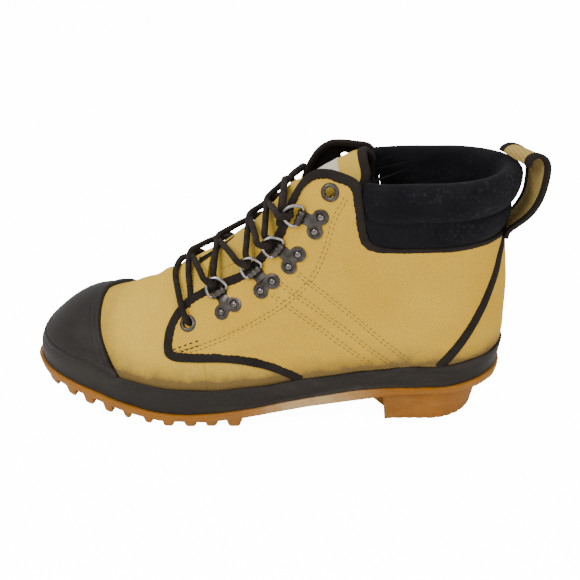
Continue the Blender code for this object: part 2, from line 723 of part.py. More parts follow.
def clip_mesh():
    """A clip: a plate with two lobes under domed rivets, and a barrel for the ring's bar."""
    low, high = 0.35, 0.35 + PLATE_THICK
    lobe = [
        (LOBE * math.cos(math.radians(a)), RIVET_SPREAD + LOBE * math.sin(math.radians(a)))
        for a in (15, 55, 95, 135, 175, 215)
    ]
    outline = [(BARREL_X - 0.6, -4.1), (BARREL_X - 0.6, 4.1), *lobe, (-2.9, 0.0)]
    outline += [(x, -y) for x, y in reversed(lobe)]
    plate = loft("clip", [[(x, y, z) for x, y in outline] for z in (low, high)], None)
    work = bmesh.new()
    for y in (-RIVET_SPREAD, RIVET_SPREAD):
        dome = Matrix.Translation(Vector((0, y, high + 0.6)) * MM)
        bmesh.ops.create_cone(
            work, cap_ends=True, segments=7, radius1=3.2 * MM, radius2=1.5 * MM, depth=2.2 * MM, matrix=dome
        )
    lying = Matrix.Translation(Vector((BARREL_X, 0, BARREL_Z)) * MM) @ Matrix.Rotation(math.pi / 2, 4, "X")
    barrel = lying @ Matrix.Rotation(math.pi / 8, 4, "Z")
    bmesh.ops.create_cone(
        work, cap_ends=True, segments=8, radius1=BARREL_RADIUS * MM, radius2=BARREL_RADIUS * MM,
        depth=BARREL_LENGTH * MM, matrix=barrel,
    )
    boolean(plate, add("rivets", finish_mesh(work, "rivets"), None), "UNION")
    work = bmesh.new()
    bmesh.ops.create_cone(
        work, cap_ends=True, segments=6, radius1=BARREL_BORE * MM, radius2=BARREL_BORE * MM,
        depth=(BARREL_LENGTH + 4) * MM, matrix=lying,
    )
    boolean(plate, add("bore", finish_mesh(work, "bore"), None), "DIFFERENCE")
    return made_solid(plate)


def ring_points():
    """The D-ring's line in the clip's frame: a straight bar, two legs and a round apex."""
    reach, height = RING_APEX
    half = [(BARREL_X, 5.3), (BARREL_X + 0.9, RING_HALF), (15.5, 6.2), (18.7, 4.2), (reach, 1.5)]
    rise = (height - BARREL_Z) / (reach - BARREL_X)
    line = half + [(x, -y) for x, y in reversed(half)]
    return [(x, y, BARREL_Z + rise * (x - BARREL_X)) for x, y in line]


def make_clips(steel, ring_steel):
    """Four riveted clips on each side of the throat, each with its D-ring."""
    mesh = clip_mesh()
    for side, word in ((1, "outer"), (-1, "inner")):
        for number, (x, z, heading) in enumerate(CLIPS, 1):
            frame = place_on(side, x, z, math.radians(heading))
            clip = add(f"clip_{word}_{number}", mesh, None if mesh.materials else steel)
            clip.matrix_local = frame
            ring = tube(f"ring_{word}_{number}", ring_points(), WIRE, ring_steel, closed=True)
            ring.matrix_local = frame


def make_eyelets(steel, upper):
    """The lowest and the top eyelet on each side: a flange and a barrel through the canvas."""
    profile = ((3.4, -2.4), (2.9, -2.4), (2.9, 1.4), (4.4, 1.6), (5.6, 0.4), (3.4, 0.4))
    work = bmesh.new()
    for side, word in ((1, "outer"), (-1, "inner")):
        for number, (x, z) in enumerate(EYELETS):
            name = f"eyelet_{word}_{('low', 'top')[number]}"
            frame = place_on(side, x, z, math.radians(45), 2.5, 4.0)
            mesh = bpy.data.meshes.new(name)
            shape = bmesh.new()
            verts = [shape.verts.new(Vector((r, 0, h)) * MM) for r, h in profile]
            for i, vert in enumerate(verts):
                shape.edges.new((vert, verts[(i + 1) % len(verts)]))
            shape.to_mesh(mesh)
            shape.free()
            piece = add(name, mesh, steel)
            piece.matrix_local = frame
            turn = piece.modifiers.new("turn", "SCREW")
            turn.steps = turn.render_steps = EYELET_SIDES
            turn.use_merge_vertices = True
            turn.merge_threshold = 1e-5
            bmesh.ops.create_cone(
                work, cap_ends=True, segments=EYELET_SIDES, radius1=3.85 * MM, radius2=3.85 * MM,
                depth=9 * MM, matrix=frame,
            )
    boolean(upper, add("eyelet_holes", finish_mesh(work, "eyelet_holes"), None), "DIFFERENCE")


# ---------------------------------------------------------------- lace

# Where the lace's strands cross over the ridge, from the toe upwards, and the bar's place.
CROSSING_X = (186.0, 167.0, 149.5, 136.0, 122.0)
BAR_X = 201.0
STRAND_LOW = 3.0
STRAND_HIGH = 6.6


def on_ridge(x, height):
    return np.array([x, float(through(SECTIONS["x"], SECTIONS["ridge"], x)), ridge_height(x) + height])


def flank(side, near, ridge_x, share_of, lift):
    """A point part of the way from a point near a ring to one on the ridge, over the form."""
    level = level_of(side, share_at(near[0]), near[2])
    share = share_at(near[0] + (ridge_x - near[0]) * share_of)
    return skin(side, share, level + (5 - level) * share_of, lift)


def smooth_line(points, gap, bend=36.0):
    """A rounded line through points, with a point at least every gap and every bend degrees."""
    points = np.array(points)
    along = np.concatenate([[0], np.cumsum(np.linalg.norm(np.diff(points, axis=0), axis=1) ** 0.5)])
    fine = np.linspace(0, along[-1], 1500)
    line = np.stack([through(along, points[:, k], fine) for k in range(3)], axis=1)
    steps = np.diff(line, axis=0)
    length = np.linalg.norm(steps, axis=1)
    heading = steps / length[:, None]
    turn = np.degrees(np.arccos(np.clip((heading[1:] * heading[:-1]).sum(axis=1), -1, 1)))
    effort = np.concatenate([[0], np.cumsum(length / gap + np.append(turn, 0) / bend)])
    at = np.linspace(0, effort[-1], int(effort[-1]) + 2)
    return [tuple(np.interp(at_one, effort, line[:, k]) for k in range(3)) for at_one in at]


def ring_turn(side, number):
    """The lace's turn round a ring: over its apex, through it and back under it."""
    x, z, heading = CLIPS[number]
    frame = place_on(side, x, z, math.radians(heading))
    reach, height = RING_APEX
    local = [
        (reach + 3.2, 2.2 * side, height + 3.3), (reach - 0.6, 1.3 * side, height + 3.6),
        (reach - 4.2, 0.0, height - 0.2), (reach - 0.4, -1.3 * side, height - 3.6),
        (reach + 3.4, -2.2 * side, height - 2.8),
    ]
    return [np.array(frame @ (Vector(p) * MM)) / MM for p in local]


def lace_run(side):
    """One half of the lace, from under the quarter's edge on one side up to the ears."""
    line = [spot(side, 186.5, 86.0, 2.8), spot(side, 187.5, 93.5, 3.8)]
    for number, x in enumerate(CROSSING_X):
        height = STRAND_HIGH if (number % 2 == 0) == (side > 0) else STRAND_LOW
        start_side = side if number % 2 == 0 else -side
        line.append(on_ridge(x, height))
        if number < len(CLIPS):
            turn = ring_turn(-start_side, number)
            line.append(flank(-start_side, turn[0], x, 0.45, 4.8))
            line += turn
            line.append(flank(-start_side, turn[-1], CROSSING_X[number + 1], 0.4, 3.9))
    end_side = -side if (len(CROSSING_X) - 1) % 2 == 0 else side
    line.append(flank(end_side, spot(end_side, 118.5, 151.0), CROSSING_X[-1], 0.4, 3.6))
    line.append(spot(end_side, 115.8, 155.3, 3.0))
    return line


def make_lace(cord):
    """The lace: a bar between the lowest eyelets, and two runs that cross on the ridge."""
    bar = []
    for side in (1, -1):
        x, z = EYELETS[0]
        half = [spot(side, x, z, 4.3), spot(side, x + 1.5, z + 3, 6.5), spot(side, x + 6, z + 13, 5.2),
                flank(side, spot(side, BAR_X - 3, z + 16), BAR_X, 0.45, 3.4)]
        bar += half if side > 0 else [on_ridge(BAR_X, 2.9)] + half[::-1]
    tube("lace_bar", smooth_line(bar, LACE_STEP), LACE, cord, sides=1)
    runs = []
    for side in (1, -1):
        work = bmesh.new()
        work.from_mesh(made_solid(tube("lace", smooth_line(lace_run(side), LACE_STEP), LACE, cord)))
        runs.append(add("lace", finish_mesh(work, "lace"), cord))
    boolean(*runs, "UNION", "MANIFOLD")


def main():
    canvas = material("canvas", (0.56, 0.42, 0.14), 0.85)
    rubber = material("black_rubber", (0.03, 0.03, 0.03), 0.6)
    gum = material("gum_rubber", (0.62, 0.27, 0.05), 0.5)
    padding = material("collar_cloth", (0.01, 0.01, 0.02), 0.9)
    lining = material("lining", (0.02, 0.02, 0.02), 0.9)
    webbing = material("webbing", (0.5, 0.38, 0.13), 0.9)
    steel = material("dark_steel", (0.3, 0.3, 0.3), 0.35, 1.0)
    ring_steel = material("ring_steel", (0.5, 0.5, 0.5), 0.25, 1.0)
    cord = material("lace", (0.03, 0.02, 0.02), 0.9)
    upper = make_upper(canvas)
    make_foxing(rubber)
    make_toe_cap(rubber)
    make_outsole(gum)
    make_insole(lining)
    make_collar(padding)
    make_tongue(canvas)
    make_pull_loop(webbing)
    make_clips(steel, ring_steel)
    make_eyelets(steel, upper)
    make_lace(cord)
    settle_origin()


def settle_origin():
    """Move the empty so that the origin lies on the floor, under the middle of the boot."""
    bpy.context.view_layer.update()
    graph = bpy.context.evaluated_depsgraph_get()
    corners = []
    for piece in BOOT.objects:
        if piece.type != "EMPTY":
            shown = piece.evaluated_get(graph)
            mesh = shown.to_mesh()
            corners += [shown.matrix_world @ vert.co for vert in mesh.vertices]
            shown.to_mesh_clear()
    middle = [(max(c[k] for c in corners) + min(c[k] for c in corners)) / 2 for k in range(2)]
    ORIGIN.location = (-middle[0], -middle[1], -min(c[2] for c in corners))


clear_scene()
BOOT = collection("wading_boot")
GUIDES = collection("guides")
ORIGIN = bpy.data.objects.new("boot_origin", None)
BOOT.objects.link(ORIGIN)
main()
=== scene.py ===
"""Looks of an ankle-high wading boot for the left foot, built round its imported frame.

Every piece is measured in the boot's own millimetres: X from the back of the outsole towards the
toe, Y to the outer side from the middle of the heel, Z up from the floor. Last.to_world turns
them into the frame's metres. The quarters, bindings and seams are laid out flat, as a cutter
lays them: along the rib line from the heel, and up in height.
"""

import logging
import math
from dataclasses import dataclass
from enum import Enum
from functools import lru_cache
from typing import Callable, Iterable, Optional, Sequence

import bmesh
import bpy
import numpy as np
from mathutils import Matrix, Vector

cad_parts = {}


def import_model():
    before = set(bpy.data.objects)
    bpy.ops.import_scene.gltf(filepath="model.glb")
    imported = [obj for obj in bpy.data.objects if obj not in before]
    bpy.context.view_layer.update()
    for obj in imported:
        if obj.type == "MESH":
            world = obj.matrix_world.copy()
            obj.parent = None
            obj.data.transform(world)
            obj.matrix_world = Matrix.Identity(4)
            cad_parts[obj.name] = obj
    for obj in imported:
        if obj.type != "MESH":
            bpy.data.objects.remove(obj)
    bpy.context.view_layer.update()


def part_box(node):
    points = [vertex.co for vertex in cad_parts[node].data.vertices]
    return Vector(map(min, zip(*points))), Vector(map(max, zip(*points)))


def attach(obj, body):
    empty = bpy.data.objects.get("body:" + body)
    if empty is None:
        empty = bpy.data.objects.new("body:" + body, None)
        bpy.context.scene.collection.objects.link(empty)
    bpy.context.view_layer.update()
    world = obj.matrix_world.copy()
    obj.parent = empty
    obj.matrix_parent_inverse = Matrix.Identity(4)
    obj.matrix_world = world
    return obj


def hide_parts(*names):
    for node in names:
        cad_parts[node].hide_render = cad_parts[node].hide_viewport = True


MM = 0.001
WELD, SLIVER = 2e-6, 1e-7  # metres: points this near are one, and edges this short go
BODY = "root"
Array = np.ndarray
Place = Callable[[Array, Array], Array]
Colour = tuple[float, float, float]
log = logging.getLogger("wading_boot")


class Side(Enum):
    """The two sides of the boot."""

    OUTER = 1.0
    INNER = -1.0

    @property
    def word(self) -> str:
        """The side's name in the names of pieces."""
        return self.name.lower()


# ---------------------------------------------------------------- curves and the last


def hermite(t: Array, h: Array, ends: tuple[Array, Array], slopes: tuple[Array, Array]) -> Array:
    """A cubic between two ends with given slopes, at shares t of its length h."""
    return (
        (2 * t**3 - 3 * t**2 + 1) * ends[0] + (t**3 - 2 * t**2 + t) * h * slopes[0]
        + (3 * t**2 - 2 * t**3) * ends[1] + (t**3 - t**2) * h * slopes[1]
    )


def through(xs: Array, ys: Array, at: Array, snug: bool = False) -> Array:
    """Read a smooth curve through given points.

    Args:
        xs: Rising places of the points.
        ys: Values at those places.
        at: Where the curve is read.
        snug: Keeps the curve from swinging past its points at sharp turns.

    Returns:
        The curve's values at the places asked for.
    """
    slope = np.gradient(ys, xs)
    if snug:
        steps = np.diff(ys) / np.diff(xs)
        least = np.minimum(abs(steps[1:]), abs(steps[:-1])) * 3
        slope[1:-1] = np.where(steps[1:] * steps[:-1] <= 0, 0, np.clip(slope[1:-1], -least, least))
    i = np.clip(np.searchsorted(xs, at) - 1, 0, len(xs) - 2)
    h = xs[i + 1] - xs[i]
    t = np.clip((at - xs[i]) / h, 0, 1)
    return hermite(t, h, (ys[i], ys[i + 1]), (slope[i], slope[i + 1]))


def ease(t: Array) -> Array:
    """A smooth step from 0 to 1 over t from 0 to 1."""
    t = np.clip(t, 0, 1)
    return t * t * (3 - 2 * t)


def smooth_path(points: Sequence[Sequence[float]], gap: float) -> Array:
    """A rounded line through points, read at even steps.

    Args:
        points: The points, in two or three dimensions.
        gap: Length of a step.

    Returns:
        The line's points.
    """
    points = np.array(points, float)
    along = np.concatenate([[0], np.cumsum(np.linalg.norm(np.diff(points, axis=0), axis=1) ** 0.5)])
    fine = np.linspace(0, along[-1], 2000)
    line = np.stack([through(along, column, fine) for column in points.T], axis=1)
    return even_path(line, gap)


def even_path(line: Array, gap: float) -> Array:
    """The same line, read at even steps of about gap."""
    run = np.concatenate([[0], np.cumsum(np.linalg.norm(np.diff(line, axis=0), axis=1))])
    at = np.linspace(0, run[-1], max(int(run[-1] / gap), 2) + 1)
    return np.stack([np.interp(at, run, column) for column in line.T], axis=1)


def distance_to(path: Array, x: Array, z: Array) -> Array:
    """Distance of flat places (x, z) from a line of flat points."""
    spots = np.stack([np.ravel(x), np.ravel(z)], axis=1)
    start, step = path[:-1], np.diff(path, axis=0)
    best = np.full(len(spots), 1e9)
    for a, d in zip(start, step):
        t = np.clip((spots - a) @ d / max(d @ d, 1e-9), 0, 1)
        best = np.minimum(best, np.linalg.norm(spots - a - t[:, None] * d, axis=1))
    return best.reshape(np.shape(x))


def unit(ways: Array) -> Array:
    """Vectors brought to a length of 1."""
    return ways / np.linalg.norm(ways, axis=-1)[..., None]


def bell(at: Array, middle: float, width: float) -> Array:
    """A soft bump of height 1 round a place."""
    return np.exp(-(((at - middle) / width) ** 2))


def fade(rise: Array, reach: float) -> Array:
    """A share of 1 that dies away over a reach; below 0 it stays 1."""
    return np.exp(-np.clip(rise, 0, None) / reach)


def read(table: Array, at: Array) -> list[Array]:
    """Each column of a table, read at places between its rows."""
    return [np.interp(at, np.arange(len(table)), column) for column in table.T]


def weld(work: bmesh.types.BMesh, gap: float = WELD) -> None:
    """Merge points that lie closer than a gap."""
    bmesh.ops.remove_doubles(work, verts=work.verts, dist=gap)


class Last:
    """The form of the foot that every piece of the boot follows.

    Ribs run from the heel (share 0) to the toe (share 1) on each side. On each rib, level 0 is
    the feather line, 1 the foxing's top, 2 the wall, 3 the shoulder, 4 the crown and 5 the ridge.
    """

    HEEL_X, TOE_X = 35.0, 262.0
    HEEL_SHARE, TOE_SHARE = 0.17, 0.15
    BACK = HEEL_X - HEEL_SHARE * (TOE_X - HEEL_X) / (1 - HEEL_SHARE - TOE_SHARE)
    TUCK = 1.8  # how much narrower the feather line is than the foxing's top
    BEND = 0.56  # how far the curves at both ends reach before they turn
    NEAR_RIDGE = 4.97  # the highest level with a normal of its own
    TIP_Y = -2.5
    # Sections across the foot: place, heights of the six levels, half widths of levels 1 to 4 on the
    # outer and the inner side, and how far the ridge lies to the side
    SECTIONS = dict(zip("x z0 z1 z2 z3 z4 z5 out1 out2 out3 out4 in1 in2 in3 in4 ridge".split(), np.array([
        (35, 27.0, 43.0, 80.0, 124.0, 170.0, 226.0, 33.0, 36.0, 36.0, 36.5, 32.0, 35.0, 34.0, 32.5, 0.0),
        (60, 26.8, 42.0, 82.0, 123.0, 170.0, 205.0, 34.5, 36.5, 37.0, 35.5, 32.5, 35.0, 34.5, 31.5, 0.0),
        (85, 25.7, 39.8, 82.0, 123.0, 167.0, 186.0, 37.5, 37.0, 35.5, 28.0, 32.5, 34.0, 33.5, 25.5, 0.0),
        (105, 22.7, 37.6, 78.0, 118.0, 167.0, 170.0, 40.0, 38.0, 34.0, 22.5, 33.0, 34.5, 32.0, 21.5, -0.5),
        (125, 19.3, 35.0, 74.0, 107.0, 142.5, 147.5, 42.5, 39.5, 33.5, 24.0, 34.5, 35.0, 31.5, 23.0, -1.0),
        (145, 15.3, 31.7, 66.0, 94.5, 117.5, 127.5, 45.0, 41.0, 33.0, 20.5, 37.5, 37.0, 31.0, 20.0, -1.5),
        (165, 12.0, 29.8, 57.0, 81.5, 101.5, 112.5, 47.0, 43.5, 34.5, 19.0, 41.5, 40.0, 32.5, 18.5, -2.0),
        (185, 10.0, 29.3, 50.0, 71.0, 90.0, 100.5, 48.8, 46.0, 36.5, 19.5, 45.3, 43.5, 35.0, 19.0, -2.5),
        (210, 10.4, 31.3, 47.0, 63.5, 79.2, 88.5, 49.5, 47.5, 38.5, 21.0, 49.0, 47.0, 38.5, 21.0, -3.0),
        (235, 15.0, 36.0, 47.5, 60.5, 71.2, 77.5, 47.0, 45.2, 38.0, 21.5, 49.3, 47.5, 40.0, 22.5, -3.5),
        (262, 20.7, 43.5, 50.5, 58.5, 66.0, 69.8, 39.5, 37.5, 31.0, 17.0, 43.0, 41.0, 35.0, 19.5, -4.5),
    ], float).T))
    # Where each level ends at the heel and at the toe
    ENDS = dict(zip("heel_x heel_z toe_x toe_z".split(), np.array([
        (2.5, 30.0, 306.0, 29.5), (-2.0, 47.0, 300.0, 48.5), (-5.0, 80.0, 293.5, 54.5),
        (-4.0, 124.0, 284.5, 61.0), (-11.5, 170.0, 273.0, 66.8), (35.0, 226.0, 262.0, 69.8),
    ], float).T))
    LEVELS = np.linspace(0, 5, 201)
    SOLE_BACK, SOLE_MIDDLE = -2.6, -0.1  # the outsole's back and its middle, across
    SOLE_ENDS = ((-2.5, 30.5), (304.0, 31.0))  # place and height of the outsole's top at both ends
    HEEL_RISE = 4.0  # how much the foxing's top rises round the heel

    def __init__(self) -> None:
        """Find the boot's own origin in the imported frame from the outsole's box."""
        low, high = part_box("outsole")
        middle = (low.y + high.y) / 2 / MM
        self.shift = np.array([self.SOLE_BACK - low.x / MM, self.SOLE_MIDDLE - middle, 0.0])

    def to_world(self, points: Array) -> Array:
        """Turn the boot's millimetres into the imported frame's metres."""
        return (np.asarray(points, float) - self.shift) * MM

    @classmethod
    def share_at(cls, x: Array) -> Array:
        """The share of the rib at x."""
        inner = (np.asarray(x, float) - cls.HEEL_X) / (cls.TOE_X - cls.HEEL_X)
        return cls.HEEL_SHARE + inner * (1 - cls.HEEL_SHARE - cls.TOE_SHARE)

    @classmethod
    def column(cls, name: str, x: Array) -> Array:
        """One column of the section table, read at x."""
        return through(cls.SECTIONS["x"], cls.SECTIONS[name], x)

    def level_points(self, side: Array, share: Array, level: int) -> Array:
        """Points of one level line.

        Args:
            side: +1 on the outer side and -1 on the inner.
            share: Places of the ribs.
            level: One of the six levels.

        Returns:
            Points in the boot's millimetres.
        """
        inner = (share - self.HEEL_SHARE) / (1 - self.HEEL_SHARE - self.TOE_SHARE)
        x = self.HEEL_X + np.clip(inner, 0, 1) * (self.TOE_X - self.HEEL_X)
        z = self.column(f"z{level}", x)
        if level == 5:
            return np.stack([x, self.column("ridge", x), z], axis=-1)
        column = max(level, 1)

        def width(at: Array) -> Array:
            """Half width at a place along the boot."""
            out, inside = self.column(f"out{column}", at), self.column(f"in{column}", at)
            return np.where(side > 0, out, inside) - (self.TUCK if level == 0 else 0)

        y = side * width(x)
        points = np.stack([x, y, z], axis=-1)
        for end, end_y, start, turn in (
            ("heel", 0.0, self.HEEL_X, 1 - share / self.HEEL_SHARE),
            ("toe", self.TIP_Y, self.TOE_X, 1 - (1 - share) / self.TOE_SHARE),
        ):
            end_x, end_z = self.ENDS[f"{end}_x"][level], self.ENDS[f"{end}_z"][level]
            t = np.clip(turn, 0, 1)
            step = 1.0 if end == "heel" else -1.0
            slope = side * (width(start + step) - width(start)) / step
            reach = self.BEND * (end_x - start)
            a, b, c, d = (1 - t) ** 3, 3 * t * (1 - t) ** 2, 3 * t**2 * (1 - t), t**3
            bend_x = start + b * reach + (c + d) * (end_x - start)
            bend_y = a * y + b * (y + slope * reach) + c * (end_y + self.BEND * (y - end_y)) + d * end_y
            bend_z = z + (end_z - z) * (bend_x - start) / (end_x - start)
            points = np.where((turn > 0)[..., None], np.stack([bend_x, bend_y, bend_z], axis=-1), points)
        return points

    def form(self, side: Array, share: Array, level: Array) -> Array:
        """Points on the form.

        Args:
            side: +1 on the outer side of the foot and -1 on the inner.
            share: Place of the rib, from 0 at the heel to 1 at the toe.
            level: Height on the rib, from 0 to 5, which may lie between two levels.

        Returns:
            Points in the boot's millimetres, with the arrays' common shape.
        """
        side, share = np.broadcast_arrays(np.asarray(side, float), np.asarray(share, float))
        lines = np.stack([self.level_points(side, share, k) for k in range(6)], axis=-2)
        chord = np.linalg.norm(np.diff(lines, axis=-2), axis=-1)[..., None]
        steps = np.diff(lines, axis=-2) / chord
        slope = np.empty_like(lines)
        before, after = chord[..., :-1, :], chord[..., 1:, :]
        slope[..., 1:-1, :] = (steps[..., :-1, :] * after + steps[..., 1:, :] * before) / (before + after)
        slope[..., 0, :] = steps[..., 0, :]
        last = lines[..., 5, :] - lines[..., 4, :]
        flat = np.linalg.norm(last[..., :2], axis=-1)
        slope[..., 5, :2] = last[..., :2] / flat[..., None]
        slope[..., 5, 2] = np.where(share > 0.5, 0.2 * np.clip(-last[..., 0] / flat, -1, 1), 0)
        level = np.asarray(level, float)
        shape = np.broadcast_shapes(share.shape, level.shape)
        level = np.broadcast_to(level, shape)
        i = np.clip(level.astype(int), 0, 4)[..., None, None]
        t = (level - i[..., 0, 0])[..., None]
        start, end, h, m0, m1 = (
            np.take_along_axis(np.broadcast_to(array, (*shape, *array.shape[-2:])), index, axis=-2)[..., 0, :]
            for array, index in ((lines, i), (lines, i + 1), (chord, i), (slope, i), (slope, i + 1))
        )
        return hermite(t, h, (start, end), (m0, m1))

    def outward(self, side: Array, share: Array, level: Array, flat: bool = False) -> Array:
        """Unit normals of the form; flat keeps them level."""
        side, share, level = np.broadcast_arrays(*(np.asarray(a, float) for a in (side, share, level)))
        tiny, top = 1e-3, self.NEAR_RIDGE
        here = np.minimum(level, top)
        low, high = np.clip(level - tiny, 0, top), np.clip(level + tiny, 0, top + tiny)
        along = self.form(side, np.clip(share + tiny, 0, 1), here) - self.form(side, np.clip(share - tiny, 0, 1), here)
        normal = np.cross(self.form(side, share, high) - self.form(side, share, low), along) * side[..., None]
        if flat:
            normal[..., 2] = 0
        return unit(normal)

    def skin(self, side: Array, share: Array, level: Array, lift: Array, flat: bool = False) -> Array:
        """Points at a height of lift above the form."""
        lift = np.asarray(lift, float)[..., None]
        return self.form(side, share, level) + lift * self.outward(side, share, level, flat)

    @lru_cache(maxsize=None)
    def rib_table(self, side: float) -> Array:
        """Heights of one side's ribs at LEVELS, from the heel to the toe."""
        heights = self.form(side, np.linspace(0, 1, 801)[:, None], self.LEVELS[None, :])[..., 2]
        return np.maximum.accumulate(heights, axis=1)

    def level_of(self, side: float, share: Array, z: Array) -> Array:
        """Levels at which ribs of one side reach given heights."""
        share, z = np.broadcast_arrays(np.asarray(share, float), np.asarray(z, float))
        table = self.rib_table(float(side))
        place = np.clip(share.ravel(), 0, 1) * (len(table) - 1)
        low = np.minimum(place.astype(int), len(table) - 2)
        found = np.empty(len(place))
        for k, (i, part, height) in enumerate(zip(low, place - low, z.ravel())):
            rib = table[i] * (1 - part) + table[i + 1] * part
            found[k] = np.interp(-math.sqrt(max(rib[-1] - height, 0)), -np.sqrt(rib[-1] - rib), self.LEVELS)
        return found.reshape(z.shape)

    def spot(self, side: float, x: Array, z: Array, lift: Array = 0.0) -> Array:
        """The form's points that are seen at (x, z) from the side, raised by lift."""
        share = self.share_at(x)
        level = self.level_of(side, share, z)
        return self.skin(side, share, level, np.broadcast_to(lift, level.shape))

    def facing(self, side: float, x: Array, z: Array) -> Array:
        """Unit normals at the places seen at (x, z)."""
        share = self.share_at(x)
        return self.outward(side, share, self.level_of(side, share, z))

    def ridge(self, x: Array, height: Array = 0.0) -> Array:
        """Points over the ridge line."""
        x = np.asarray(x, float)
        return np.stack(np.broadcast_arrays(x, self.column("ridge", x), self.column("z5", x) + height), axis=-1)

    def above_foxing(self, spots: Array) -> Array:
        """Heights of places over the foxing's top edge."""
        return spots[:, 2] - self.foxing_top(np.clip(spots[:, 0], self.HEEL_X, self.TOE_X))

    def sole_top(self, x: Array) -> Array:
        """Height of the outsole's top face at x."""
        (back, back_z), (front, front_z) = self.SOLE_ENDS
        line_x = np.concatenate([[back], self.SECTIONS["x"], [front]])
        line_z = np.concatenate([[back_z], self.SECTIONS["z0"], [front_z]])
        return through(line_x, line_z, np.asarray(x, float))

    def foxing_top(self, x: Array) -> Array:
        """Height of the foxing's top edge on the rib at x."""
        x = np.asarray(x, float)
        heel = np.clip((self.HEEL_X - x) / (self.HEEL_X - self.BACK), 0, 1)
        return self.column("z1", np.clip(x, self.HEEL_X, self.TOE_X)) + self.HEEL_RISE * heel**2


# ---------------------------------------------------------------- finishes


class Nodes:
    """A shader's node tree, with short calls for the nodes that the finishes use."""

    def __init__(self, tree: bpy.types.NodeTree) -> None:
        """Keep the tree."""
        self.tree = tree

    def add(self, kind: str, **settings: object) -> bpy.types.Node:
        """Add a node and set its properties."""
        node = self.tree.nodes.new(kind)
        for name, value in settings.items():
            setattr(node, name, value)
        return node

    def feed(self, socket: bpy.types.NodeSocket, value: object) -> None:
        """Link a socket to an output, or set its value."""
        if isinstance(value, bpy.types.NodeSocket):
            self.tree.links.new(value, socket)
        elif isinstance(value, tuple) and len(value) == 3 and socket.type == "RGBA":
            socket.default_value = (*value, 1.0)
        else:
            socket.default_value = value

    def maths(self, operation: str, *values: object, clamp: bool = False) -> bpy.types.NodeSocket:
        """A Math node's output."""
        node = self.add("ShaderNodeMath", operation=operation, use_clamp=clamp)
        for socket, value in zip(node.inputs, values):
            self.feed(socket, value)
        return node.outputs[0]

    def times(self, first: object, second: object, clamp: bool = False) -> bpy.types.NodeSocket:
        """A product."""
        return self.maths("MULTIPLY", first, second, clamp=clamp)

    def plus(self, first: object, second: object) -> bpy.types.NodeSocket:
        """A sum."""
        return self.maths("ADD", first, second)

    def spots(self) -> bpy.types.NodeSocket:
        """The piece's own coordinates."""
        return self.add("ShaderNodeTexCoord").outputs["Object"]

    def mix(self, share: object, first: object, second: object, blend: str = "MIX") -> bpy.types.NodeSocket:
        """A colour mix."""
        node = self.add("ShaderNodeMix", data_type="RGBA", blend_type=blend)
        for socket, value in ((node.inputs[0], share), (node.inputs[6], first), (node.inputs[7], second)):
            self.feed(socket, value)
        return node.outputs[2]

    def spread(
        self, value: object, low: float, high: float, to_low: float = 0.0, to_high: float = 1.0,
    ) -> bpy.types.NodeSocket:
        """A value mapped from one range to another, and kept in it."""
        node = self.add("ShaderNodeMapRange", clamp=True)
        for socket, given in zip(node.inputs, (value, low, high, to_low, to_high)):
            self.feed(socket, given)
        return node.outputs[0]

    def noise(self, where: object, scale: object, detail: float = 3.0, rough: float = 0.55) -> bpy.types.NodeSocket:
        """A noise's value."""
        node = self.add("ShaderNodeTexNoise")
        for name, value in (("Vector", where), ("Scale", scale), ("Detail", detail), ("Roughness", rough)):
            self.feed(node.inputs[name], value)
        return node.outputs[0]

    def stretched(self, where: object, scale: tuple[float, float, float], turn: float = 0.0) -> bpy.types.NodeSocket:
        """Coordinates through a Mapping node."""
        node = self.add("ShaderNodeMapping")
        self.feed(node.inputs["Vector"], where)
        node.inputs["Scale"].default_value = scale
        node.inputs["Rotation"].default_value = (0.0, 0.0, turn)
        return node.outputs[0]

    def group(self, tree: bpy.types.NodeTree, **values: object) -> bpy.types.Node:
        """A placed group with its inputs fed; underscores in names stand for spaces."""
        node = self.add("ShaderNodeGroup", node_tree=tree)
        for name, value in values.items():
            self.feed(node.inputs[name.replace("_", " ")], value)
        return node


def new_group(
    name: str, inputs: dict[str, tuple[str, object]], outputs: dict[str, str],
) -> tuple[bpy.types.NodeTree, Nodes, bpy.types.Node, bpy.types.Node]:
    """Start a node group.

    Args:
        name: The group's name.
        inputs: Kind of socket and first value for each input.
        outputs: Kind of socket for each output.

    Returns:
        The group, its builder, its input node and its output node.
    """
    tree = bpy.data.node_groups.new(name, "ShaderNodeTree")
    for label, (kind, value) in inputs.items():
        socket = tree.interface.new_socket(label, in_out="INPUT", socket_type=f"NodeSocket{kind}")
        socket.default_value = (*value, 1.0) if kind == "Color" else value
    for label, kind in outputs.items():
        tree.interface.new_socket(label, in_out="OUTPUT", socket_type=f"NodeSocket{kind}")
    build = Nodes(tree)
    return tree, build, build.add("NodeGroupInput"), build.add("NodeGroupOutput")


